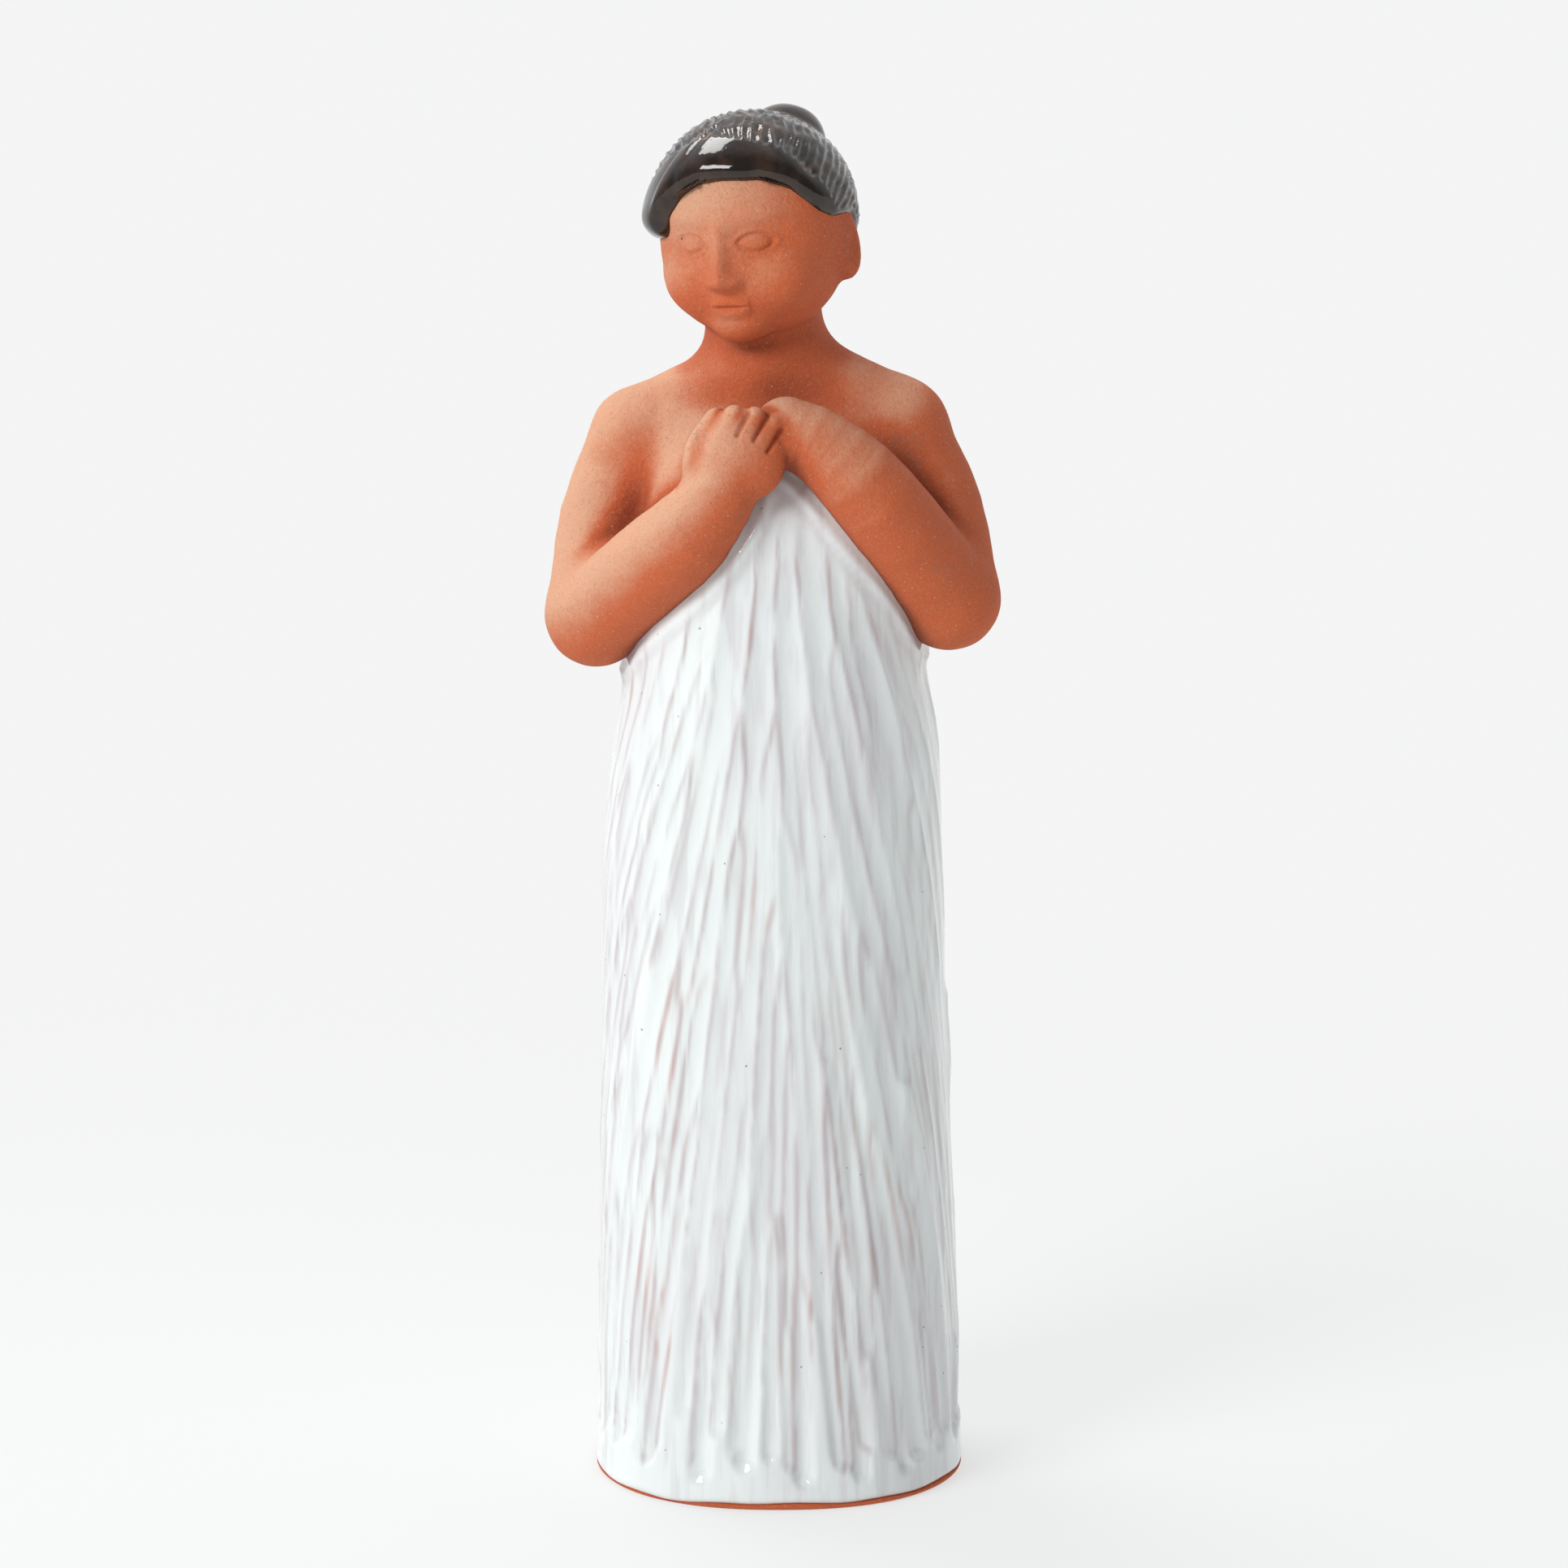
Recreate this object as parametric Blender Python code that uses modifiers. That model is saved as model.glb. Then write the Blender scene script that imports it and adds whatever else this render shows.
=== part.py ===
"""An earthenware figurine: a standing person with bare shoulders, wrapped in a gouged cloth.

The arms are folded on the chest, the head is turned a little to the side, and the hair is
rolled back into a bun. It is one fired piece, so it is one solid. The front looks along -Y,
the origin is the middle of the flat foot, and +Z is up.
"""

import math
import random

import bmesh
import bpy
import numpy as np
from mathutils import Euler

# Driving dimension, in metres: from the foot to the crown of the hair
FIGURE_HEIGHT = 0.290

# All the form is a share of that height. One share is a 290th of it, which is a millimetre
# at the real size, and every size and place below is a number of shares.
SHARE = FIGURE_HEIGHT / 290

# Trunk and wrap, from the foot up, with what the half width and the depths are at each height
TRUNK_HEIGHTS = (0, 35, 68, 100, 131, 147, 158, 168, 180, 195, 210, 222, 232)
TRUNK_HALF_WIDTHS = (39.4, 39.2, 38.3, 37.3, 36.9, 36.1, 34.8, 33.2, 31.5, 30, 29, 27, 20)
TRUNK_SHIFTS = (0, 0, -0.7, -1.2, -1.3, -1.0, -0.5, -0.4, -0.8, -1, -1.4, -2, -2)
TRUNK_FRONTS = (36.5, 36.2, 35.6, 35, 34.4, 33.9, 33.5, 33.1, 32.4, 30.9, 28, 20, 11)
TRUNK_BACKS = (36.5, 36, 35.2, 34.4, 33.4, 32.4, 31.4, 30.3, 28.5, 25.8, 22, 18, 12)
TRUNK_TOP = 230
TRUNK_SQUARENESS = 2.25
TRUNK_EASING = 9
EASING_STEPS = 8
TRUNK_SIDES = 64
TRUNK_RING_GAP = 4
FOOT_ROUNDING = 0.9

# Edge of the wrap: its peak between the forearms, its fall under each of them from a place on
# it, and its level across the back. The cloth stands proud of the skin, with a thicker hem.
WRAP_PEAK = 219
WRAP_LEFT = (-13.3, 213, 1.1)
WRAP_RIGHT = (9.5, 223.5, -1.34)
WRAP_BACK = 191
WRAP_SIDE = 186
WRAP_THICKNESS = 1.1
HEM_THICKNESS = 0.4
HEM_WIDTH = 1.1

# Neck and the slopes to the shoulders
NECK_FOOT = (-1.8, 3, 222)
NECK_HEAD = (-3.6, 1.5, 254)
NECK_RADIUS = 12.2
LEFT_SLOPE_START = (-3, 3, 234.2)
RIGHT_SLOPE_START = (-2, 3, 236.6)
SLOPE_RADIUS = 9.8

# Arms, named by the side where the viewer sees them: places along each limb, with its radius
LEFT_UPPER_ARM = ((-28.4, 1.5, 220.8), (-35.2, 0.5, 204), (-37.8, -7.5, 185.6))
LEFT_UPPER_RADII = (10.7, 10.6, 10.3)
LEFT_FOREARM = ((-37.8, -8.5, 185.6), (-21.8, -24.5, 202), (-13.3, -28.5, 212), (-9, -29, 221))
LEFT_FOREARM_RADII = (10.3, 9.7, 7.8, 7)
RIGHT_UPPER_ARM = ((24.2, 2, 222.9), (32.2, 0.5, 206), (35.2, -8, 189.2))
RIGHT_UPPER_RADII = (10.7, 10.4, 10.3)
RIGHT_FOREARM = ((35.2, -9, 189.2), (20, -23.8, 212), (9.5, -25, 222.5), (1.5, -24.5, 226.5))
RIGHT_FOREARM_RADII = (10.3, 9.2, 7.9, 7)
LIMB_STEPS = 3

# Hands: the back of the upper hand, its fingers by their knuckle and tip, and the thumb
HAND_MIDDLE = (-7.2, -30.5, 221.6)
HAND_HALF = (8.9, 5.5, 8.8)
FINGER_KNUCKLES = ((-12, -31.2, 223.5), (-8.9, -32, 223), (-5.8, -32.2, 221.8), (-3.2, -31.4, 219))
FINGER_TIPS = ((-8.9, -30, 230), (-5, -30.4, 229.7), (-1.5, -30.2, 228), (0.7, -29.4, 224.4))
FINGER_RADII = (2.9, 2.9, 2.8, 2.7)
FINGER_TAPER = 0.92
THUMB = ((-16.4, -28, 216), (-16, -27.6, 223), (-12.6, -27.2, 229))
THUMB_RADII = (3.4, 3.2, 2.7)
FINGER_LINE_WIDTH = 0.5
FINGER_LINE_DEPTH = 1.1
FINGER_LINE_SPAN = (0.6, 1.25)
FINGER_LINE_BACK = 3

# Head: its middle, turned towards -X and nodding, and its masses about that middle
HEAD_MIDDLE = (-5.1, -3, 264.5)
HEAD_TURN = math.radians(-22)
HEAD_NOD = math.radians(5)
HEAD_TILT = math.radians(-4.5)
SKULL = ((0, 1.5, 3.8), (20, 20.4, 19.4))
JAW = ((0, -2.2, -7.2), (17.8, 15.6, 13.9))
CHIN = ((0, -11.2, -15.6), (6.5, 5, 5))
CHEEK = ((8.6, -10, -6.8), (7.5, 7, 7.5))
EAR = ((18.9, 3, -4.6), (2.9, 3.8, 6.2))
EAR_HOLLOW = ((22.1, 1.6, -3.8), (1.6, 2, 3.8))

# Face of a calm, general kind: eyes at half the head's height, the foot of the nose halfway
# from brow to chin, and the mouth a third of the way from there to the chin
CROWN_LEVEL = 23.2
CHIN_LEVEL = -21.1
BROW_LEVEL = 6
EYE_LEVEL = (CROWN_LEVEL + CHIN_LEVEL) / 2
NOSE_LEVEL = (BROW_LEVEL + CHIN_LEVEL) / 2
MOUTH_LEVEL = NOSE_LEVEL + (CHIN_LEVEL - NOSE_LEVEL) / 3
EYE_SPREAD = 7.4
EYE_HALF_WIDTH = 3.7
EYE_HALF_HEIGHT = 1.9
EYE_RISE = 0.9
EYE_ALMOND = 0.25
SOCKET_HALF = (5.6, 3.8)
SOCKET_DEPTH = 1.3
LID_REACH = 1.25
LID_RISE = 0.5
LID_WIDTH = 0.22
LID_LINE_DEPTH = 0.45
LID_LINE_WIDTH = 0.2
BROW_RISE = 0.7
BROW_WIDTH = 1.9
BROW_SPAN = (8.2, 5.5)
BROW_LIFT = 0.6
BROW_ARCH = 0.4
NOSE_LEVELS = (NOSE_LEVEL - 1.3, NOSE_LEVEL, NOSE_LEVEL + 1.5, NOSE_LEVEL + 4, EYE_LEVEL, BROW_LEVEL)
NOSE_RISES = (0, 2.1, 3.3, 2.6, 1.4, 0.3)
NOSE_HALF_WIDTHS = (2.2, 2.3, 2.2, 1.8, 1.6, 2.3)
NOSE_EASING = 0.9
NOSE_ROOT = 2
NOSTRIL = (2.7, NOSE_LEVEL + 0.9)
NOSTRIL_RISE = 1.1
NOSTRIL_SIZE = 1.35
LIP_HALF_WIDTH = 4.5
UPPER_LIP = (1.0, 0.75, 1.0)
LOWER_LIP = (-1.4, 0.85, 1.2)
LIP_CORNER = 0.4
LIP_LINE_WIDTH = 0.35
LIP_LINE_DEPTH = 0.5
FACE_FRONT = -4
FACE_FADE = 5
FEATURE_REACH = 1.2

# Hair: a thick cap over the skull, smooth in front and gouged behind, and the bun
HAIR = ((-0.8, 2, 3), (22.2, 23.2, 22.3))
HAIR_ANGLES = (-180, -150, -120, -90, -60, -44, -36, -28, -14, 0, 30, 48, 64, 80, 100, 120, 150, 180)
HAIR_LEVELS = (-11.5, -11.5, -7, -1, 0.6, 1.6, 6, 10, 12.4, 12.8, 12.4, 10, 4.4, 2, 1.2, -5, -11.5,
               -11.5)
HAIR_EASING = 6
HAIR_EDGE = 5.2
HAIR_ROLL_RISE = 1.1
HAIR_ROLL_LEVEL = 5.5
HAIR_ROLL_WIDTH = 4.5
HAIR_ROLL_FADE = 12
HAIR_JOIN = 1
BUN_JOIN = 1.2
BUN = ((1.5, 17.4, 15.4), (9, 8.4, 8.4))
HAIR_NOTCH_SPACING = 4.4
HAIR_NOTCH_DEPTH = 0.8
HAIR_NOTCH_EDGE = -5.5
HAIR_NOTCH_TILT = 0.42
HAIR_NOTCH_LEAN = 0.5
HAIR_NOTCH_FADE = 1.5
BUN_CLEAR = 0.5

# Gouges down the wrap, in tiers that overlap: the level where a tier starts, and its count
GOUGE_TIERS = ((182, 36), (150, 42), (118, 46), (84, 52), (56, 56))
GOUGE_SCATTER = 14
GOUGE_LENGTHS = (52, 104)
GOUGE_SPREAD = (1.35, 1.8)
GOUGE_DEPTHS = (0.6, 1.0)
GOUGE_HEAD = 14
GOUGE_TOE = 4
GOUGE_PLACES = (0.2, 0.8)
GOUGE_FAN = 1.5
GOUGE_FAN_END = 2
GOUGE_LEAN = 0.4
GOUGE_LEAN_SCATTER = 0.04
GOUGE_LOW_LEAN = 0.35
GOUGE_STEEP_LEVEL = 40
GOUGE_FOOT_LEVEL = 6
GOUGE_FOOT_SCATTER = 7
GOUGE_STEPS = 12
GOUGE_SEED = 11
GOUGE_HEM_ROOM = 3.3
GOUGE_ARM_ROOM = 0.4

# How softly neighbouring masses melt together
SOFT_BODY = 6
SOFT_ARM = 2.6
SOFT_HAND = 1.2
SOFT_FINGER = 1.2
SOFT_FACE = 2.2
SOFT_EAR = 2.8

# Distances are worked out only near a mass, and are this large elsewhere
MARGIN = 8
FAR = 20.0
SLOPE_STEP = 0.05
LEAST_STEEPNESS = 0.15

# Sides and rings of the spheres that make the rough masses
BALL_SIDES = 24
BALL_RINGS = 14

# Mesh: the grain of the first surface, the number of triangles that are kept, and the boxes
# round the face and the hand, as middle and half size, where the first surface is made finer
GRAIN = 1.25
TRIANGLES = 9600
FACE_BOX = ((0, -19, -6), (16, 11, 16))
HAND_BOX = ((-6, -30, 226), (13, 9, 9))


def close_to(at, low, high):
    """The indices of the points inside a box, with a margin round it."""
    inside = (at > np.array(low) - MARGIN) & (at < np.array(high) + MARGIN)
    return np.flatnonzero(inside.all(axis=1))


def ball(at, mass):
    """Distance from points to an egg-shaped mass with its own middle and half sizes."""
    middle, half = (np.array(value, float) for value in mass)
    distance = np.full(len(at), FAR)
    near = close_to(at, middle - half, middle + half)
    scaled = (at[near] - middle) / half
    reach = np.linalg.norm(scaled, axis=1) + 1e-9
    slope = np.linalg.norm(scaled / half, axis=1) + 1e-9
    distance[near] = reach * (reach - 1) / slope
    return distance


def spline(places, steps=LIMB_STEPS):
    """Places on the smooth curve through the given ones."""
    places = np.array(places, float)
    ends = np.vstack([2 * places[0] - places[1], places, 2 * places[-1] - places[-2]])
    route = []
    for a, b, c, d in zip(ends, ends[1:], ends[2:], ends[3:]):
        for t in np.arange(steps) / steps:
            route.append(0.5 * (2 * b + (c - a) * t + (2 * a - 5 * b + 4 * c - d) * t * t
                                + (3 * b - a - 3 * c + d) * t ** 3))
    return np.array(route + [places[-1]])


def limb(at, places, radii):
    """Distance from points to a round limb that follows a curve and changes its radius."""
    places = np.array(places, float)
    table = spline(np.column_stack([places, radii]))
    distance = np.full(len(at), FAR)
    widest = max(radii)
    near = close_to(at, table[:, :3].min(axis=0) - widest, table[:, :3].max(axis=0) + widest)
    here = at[near]
    nearest = np.full(len(here), FAR)
    for start, end in zip(table, table[1:]):
        along = end[:3] - start[:3]
        t = np.clip((here - start[:3]) @ along / (along @ along), 0, 1)
        gap = np.linalg.norm(here - start[:3] - t[:, None] * along, axis=1)
        nearest = np.minimum(nearest, gap - start[3] - t * (end[3] - start[3]))
    distance[near] = nearest
    return distance


def melt(one, other, soft):
    """Join two distances into one, with a soft fillet."""
    share = np.clip(0.5 + 0.5 * (other - one) / soft, 0, 1)
    return other + share * (one - other) - soft * share * (1 - share)


def both(one, other, soft):
    """Keep only what lies in both of two masses, with a soft edge."""
    return -melt(-one, -other, soft)


def eased(at, places, values, easing):
    """Values from a table at any place along it, with its corners smoothed away."""
    line = np.arange(places[0] - easing, places[-1] + easing, easing / EASING_STEPS)
    kernel = np.hanning(2 * EASING_STEPS + 1)
    ends = np.pad(np.interp(line, places, values), EASING_STEPS, mode="edge")
    return np.interp(at, line, np.convolve(ends, kernel / kernel.sum(), mode="valid"))


def girth(values, level):
    """One of the trunk's sizes at any level."""
    return eased(level, TRUNK_HEIGHTS, values, TRUNK_EASING)


def trunk(at):
    """Distance to the wrapped body, a round column that narrows to the chest."""
    x = at[:, 0] - girth(TRUNK_SHIFTS, at[:, 2])
    y = at[:, 1]
    half = girth(TRUNK_HALF_WIDTHS, at[:, 2])
    depth = np.where(y < 0, girth(TRUNK_FRONTS, at[:, 2]), girth(TRUNK_BACKS, at[:, 2]))
    power = TRUNK_SQUARENESS
    ring = (np.abs(x / half) ** power + np.abs(y / depth) ** power) ** (1 / power) + 1e-9
    flat = np.hypot(x, y)
    foot = FOOT_ROUNDING * np.clip(1 - at[:, 2] / FOOT_ROUNDING, 0, 1) ** 2
    return both(flat - flat / ring + foot, at[:, 2] - TRUNK_TOP, SOFT_BODY)


def wrap_top(at):
    """How far points lie below the wrap's edge."""
    left = WRAP_LEFT[1] + WRAP_LEFT[2] * (at[:, 0] - WRAP_LEFT[0])
    right = WRAP_RIGHT[1] + WRAP_RIGHT[2] * (at[:, 0] - WRAP_RIGHT[0])
    front = melt(melt(left, right, SOFT_ARM), np.full(len(at), float(WRAP_PEAK)), SOFT_ARM)
    behind = np.clip(at[:, 1] / TRUNK_BACKS[0], 0, 1)
    back = WRAP_SIDE + (WRAP_BACK - WRAP_SIDE) * np.sin(behind * math.pi / 2)
    share = np.clip((at[:, 1] - LEFT_UPPER_ARM[-1][1]) / SOFT_BODY + 0.5, 0, 1)
    return front * (1 - share) + back * share - at[:, 2]


def torso(at):
    """Distance to the bare trunk with the wrap round it, which ends in a rounded hem."""
    body = trunk(at)
    below = wrap_top(at)
    hem = HEM_THICKNESS * np.exp(-((below - HEM_WIDTH) / HEM_WIDTH) ** 2)
    cloth = both(body - hem, -below, HEM_WIDTH)
    return melt(cloth, body + WRAP_THICKNESS, HEM_THICKNESS)


def arms(at):
    """Distance to both arms, folded over the chest."""
    left = melt(limb(at, LEFT_UPPER_ARM, LEFT_UPPER_RADII),
                limb(at, LEFT_FOREARM, LEFT_FOREARM_RADII), SOFT_ARM)
    right = melt(limb(at, RIGHT_UPPER_ARM, RIGHT_UPPER_RADII),
                 limb(at, RIGHT_FOREARM, RIGHT_FOREARM_RADII), SOFT_ARM)
    return melt(left, right, SOFT_ARM)


def hand(at):
    """Distance to the upper hand, whose fingers lie side by side."""
    palm = ball(at, (HAND_MIDDLE, HAND_HALF))
    palm = melt(palm, limb(at, THUMB, THUMB_RADII), SOFT_ARM)
    for knuckle, tip, radius in zip(FINGER_KNUCKLES, FINGER_TIPS, FINGER_RADII):
        palm = melt(palm, limb(at, (knuckle, tip), (radius, radius * FINGER_TAPER)), SOFT_FINGER)
    return palm


def mound(gap, width):
    """A soft rise of height 1 that falls off over a width."""
    return np.exp(-(gap / width) ** 2)


def to_head(at):
    """Points seen from the head's middle, along its own turned axes."""
    pose = Euler((HEAD_NOD, HEAD_TILT, HEAD_TURN)).to_matrix()
    return (at - np.array(HEAD_MIDDLE)) @ np.array(pose)


def mirrored(at, mass):
    """Distance to a mass and its twin on the head's other side."""
    return ball(np.column_stack([np.abs(at[:, 0]), at[:, 1:]]), mass)


def bare_head(at):
    """Distance to the head without its features."""
    form = melt(ball(at, SKULL), ball(at, JAW), SOFT_BODY)
    form = melt(form, mirrored(at, CHEEK), SOFT_FACE)
    return melt(form, ball(at, CHIN), SOFT_FACE)


def head_with_ears(at):
    """Distance to the head before its features are modelled, with its ears."""
    form = melt(bare_head(at), mirrored(at, EAR), SOFT_EAR)
    return both(form, -mirrored(at, EAR_HOLLOW), SOFT_EAR)


def hairline(at):
    """How far points lie above the edge of the hair, which falls from brow to ears to nape."""
    round_head = np.degrees(np.arctan2(at[:, 0], -at[:, 1]))
    before, level, after = (eased(round_head + turn, HAIR_ANGLES, HAIR_LEVELS, HAIR_EASING)
                            for turn in (-1, 0, 1))
    steepness = (after - before) / (2 * math.radians(1) * HAIR[1][0])
    return (at[:, 2] - level) / np.hypot(1, steepness)


def hair(at):
    """Distance to the hair: the cap, which rolls outwards over the brow, and the bun behind."""
    above = hairline(at)
    roll = HAIR_ROLL_RISE * mound(above - HAIR_ROLL_LEVEL, HAIR_ROLL_WIDTH)
    roll = roll * np.clip(-at[:, 1] / HAIR_ROLL_FADE, 0, 1)
    cap = both(ball(at, HAIR) - roll, -above, HAIR_EDGE)
    return melt(cap, ball(at, BUN), BUN_JOIN)


def figure(at):
    """Distance to the whole uncarved figure."""
    shoulders = np.minimum(
        limb(at, (LEFT_SLOPE_START, LEFT_UPPER_ARM[0]), (SLOPE_RADIUS, LEFT_UPPER_RADII[0])),
        limb(at, (RIGHT_SLOPE_START, RIGHT_UPPER_ARM[0]), (SLOPE_RADIUS, RIGHT_UPPER_RADII[0])))
    neck = limb(at, (NECK_FOOT, NECK_HEAD), (NECK_RADIUS, NECK_RADIUS))
    body = melt(torso(at), melt(shoulders, neck, SOFT_BODY), SOFT_BODY)
    body = melt(body, arms(at), SOFT_ARM)
    body = melt(body, hand(at), SOFT_HAND)
    high = np.flatnonzero(at[:, 2] > NECK_FOOT[2])
    local = to_head(at[high])
    head = melt(head_with_ears(local), hair(local), HAIR_JOIN)
    body[high] = melt(body[high], head, SOFT_FACE)
    return body


def slopes(field, at):
    """The field's values, and its gradient from how it changes over a short step."""
    here = field(at)
    rises = [field(at + SLOPE_STEP * axis) - here for axis in np.eye(3)]
    return here, np.column_stack(rises) / SLOPE_STEP


def settle(at, field, rounds=3):
    """Move points onto the surface of a field."""
    for _ in range(rounds):
        here, slope = slopes(field, at)
        steep = np.maximum((slope ** 2).sum(axis=1), LEAST_STEEPNESS)
        at = at - np.clip(here / steep, -GRAIN, GRAIN)[:, None] * slope
    return at


def gouge_lean(angle, level):
    """How far a gouge drifts sideways for each step down: outwards, and less near the foot."""
    fan = math.sin(GOUGE_FAN * max(-GOUGE_FAN_END, min(GOUGE_FAN_END, angle)))
    rise = (level - GOUGE_STEEP_LEVEL) / (GOUGE_TIERS[1][0] - GOUGE_STEEP_LEVEL)
    share = max(0.0, min(1.0, rise))
    return GOUGE_LEAN * fan * (GOUGE_LOW_LEAN + (1 - GOUGE_LOW_LEAN) * share)


def gouges():
    """The cuts of the wrap: the levels and angles of each one's path, its width and its depth."""
    chance = random.Random(GOUGE_SEED)
    round_trunk = 2 * math.pi * TRUNK_HALF_WIDTHS[3]
    cuts = []
    for start, count in GOUGE_TIERS:
        for index in range(count):
            angle = 2 * math.pi * (index + chance.uniform(*GOUGE_PLACES)) / count - math.pi
            top = start + chance.uniform(-GOUGE_SCATTER, GOUGE_SCATTER)
            toe = max(top - chance.uniform(*GOUGE_LENGTHS),
                      GOUGE_FOOT_LEVEL + chance.uniform(0, GOUGE_FOOT_SCATTER))
            own_lean = chance.uniform(-GOUGE_LEAN_SCATTER, GOUGE_LEAN_SCATTER)
            levels = np.linspace(top, toe, GOUGE_STEPS)
            angles = [angle]
            for above, below in zip(levels, levels[1:]):
                lean = gouge_lean(angles[-1], above) + own_lean
                angles.append(angles[-1] + lean * (above - below) * 2 * math.pi / round_trunk)
            width = round_trunk / count * chance.uniform(*GOUGE_SPREAD)
            cuts.append((levels[::-1], np.array(angles[::-1]), width,
                         chance.uniform(*GOUGE_DEPTHS)))
    return cuts


def gouge_depth(at):
    """How deep the wrap is cut at each point: the deepest of the gouges that cross it."""
    angle = np.arctan2(at[:, 0], -at[:, 1])
    radius = np.hypot(at[:, 0], at[:, 1])
    depth = np.zeros(len(at))
    for levels, angles, width, deep in gouges():
        near = np.flatnonzero((at[:, 2] > levels[0]) & (at[:, 2] < levels[-1]))
        middle = np.interp(at[near, 2], levels, angles)
        turn = (angle[near] - middle + math.pi) % (2 * math.pi) - math.pi
        head = np.clip((levels[-1] - at[near, 2]) / GOUGE_HEAD, 0, 1)
        toe = np.sqrt(np.clip((at[near, 2] - levels[0]) / GOUGE_TOE, 0, 1))
        cut = deep * (head * toe - (2 * turn * radius[near] / width) ** 2)
        depth[near] = np.maximum(depth[near], cut)
    return depth


def hair_cut(at):
    """How deep the hair is notched, along slanting lines behind the smooth front of the cap."""
    middle = np.array(HAIR[0])
    off = at - middle
    behind = off[:, 1] - HAIR_NOTCH_EDGE + HAIR_NOTCH_TILT * off[:, 2]
    across = np.arctan2(off[:, 0], off[:, 2]) * HAIR[1][0] + HAIR_NOTCH_LEAN * off[:, 1]
    trough = np.abs(np.sin(across * math.pi / HAIR_NOTCH_SPACING))
    fade = np.clip(behind / HAIR_NOTCH_FADE - 1 + trough, 0, 1)
    fade *= np.clip(ball(at, BUN) / HAIR_NOTCH_FADE - BUN_CLEAR, 0, 1)
    return HAIR_NOTCH_DEPTH * trough * fade * (hairline(at) > HAIR_EDGE / 2)


def eye_relief(x, z):
    """How far the brow, the socket, the lids and the eye stand out on either side."""
    arch = BROW_ARCH * ((x - BROW_SPAN[0]) / BROW_SPAN[1]) ** 2
    brow_level = BROW_LEVEL + BROW_LIFT - arch
    brow = BROW_RISE * mound(z - brow_level, BROW_WIDTH) * mound(x - BROW_SPAN[0], BROW_SPAN[1])
    across = (x - EYE_SPREAD) / EYE_HALF_WIDTH
    up = np.abs(z - EYE_LEVEL) / EYE_HALF_HEIGHT + EYE_ALMOND * across ** 2
    ring = np.hypot(across, up)
    socket = SOCKET_DEPTH * mound(np.hypot((x - EYE_SPREAD) / SOCKET_HALF[0],
                                           (z - EYE_LEVEL) / SOCKET_HALF[1]), 1)
    eye = EYE_RISE * np.clip(FEATURE_REACH - ring ** 2, 0, 1)
    lid = LID_RISE * mound(ring - LID_REACH, LID_WIDTH)
    line = LID_LINE_DEPTH * mound(ring - 1, LID_LINE_WIDTH)
    return brow - socket + eye + lid - line


def face_relief(at):
    """How far the calm, general face stands out from the bare head."""
    x, z = np.abs(at[:, 0]), at[:, 2]
    rise = eased(z, NOSE_LEVELS, NOSE_RISES, NOSE_EASING)
    rise = rise * np.clip(BROW_LEVEL + NOSE_ROOT - z, 0, 1)
    nose = rise * mound(x, eased(z, NOSE_LEVELS, NOSE_HALF_WIDTHS, NOSE_EASING))
    wing = NOSTRIL_RISE * mound(np.hypot(x - NOSTRIL[0], z - NOSTRIL[1]), NOSTRIL_SIZE)
    corner = np.clip(1 - (x / LIP_HALF_WIDTH) ** 2, 0, 1)
    lips = 0
    for level, lip_rise, width in (UPPER_LIP, LOWER_LIP):
        lip_level = MOUTH_LEVEL + level * (LIP_CORNER + (1 - LIP_CORNER) * corner)
        lips = lips + lip_rise * mound(z - lip_level, width) * np.sqrt(corner)
    line = LIP_LINE_DEPTH * mound(z - MOUTH_LEVEL, LIP_LINE_WIDTH)
    line = line * np.clip(FEATURE_REACH - (x / LIP_HALF_WIDTH) ** 2, 0, 1)
    front = np.clip((FACE_FRONT - at[:, 1]) / FACE_FADE, 0, 1)
    return (eye_relief(x, z) + nose + wing + lips - line) * front


def finger_cut(at):
    """How deep the lines between the fingers are."""
    depth = np.zeros(len(at))
    pairs = list(zip(FINGER_KNUCKLES, FINGER_TIPS))
    for (near_knuckle, near_tip), (far_knuckle, far_tip) in zip(pairs, pairs[1:]):
        start = (np.array(near_knuckle) + far_knuckle) / 2
        end = (np.array(near_tip) + far_tip) / 2
        along = end[[0, 2]] - start[[0, 2]]
        off = at[:, [0, 2]] - start[[0, 2]]
        t = np.clip(off @ along / (along @ along), *FINGER_LINE_SPAN)
        gap = np.linalg.norm(off - t[:, None] * along, axis=1)
        line = FINGER_LINE_DEPTH * np.exp(-(gap / FINGER_LINE_WIDTH) ** 2)
        depth = np.maximum(depth, line * (at[:, 1] < HAND_MIDDLE[1] + FINGER_LINE_BACK))
    return depth


def carve(at):
    """Cut the gouges, the hair and the face into settled points, along the surface's slope."""
    _, slope = slopes(figure, at)
    slope /= np.linalg.norm(slope, axis=1)[:, None] + 1e-9
    on_wrap = (trunk(at) < WRAP_THICKNESS) & (wrap_top(at) > GOUGE_HEM_ROOM)
    on_wrap = on_wrap & (at[:, 2] < GOUGE_TIERS[0][0] + GOUGE_SCATTER)
    clear_of_arms = np.clip(np.minimum(arms(at), hand(at)) / SOFT_ARM - GOUGE_ARM_ROOM, 0, 1)
    local = to_head(at)
    depth = gouge_depth(at) * on_wrap * clear_of_arms
    depth += hair_cut(local) + finger_cut(at)
    on_head = (ball(local, HAIR) < MARGIN) & (hairline(local) < 0)
    depth -= face_relief(local) * on_head
    return at - slope * depth[:, None]


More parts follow.
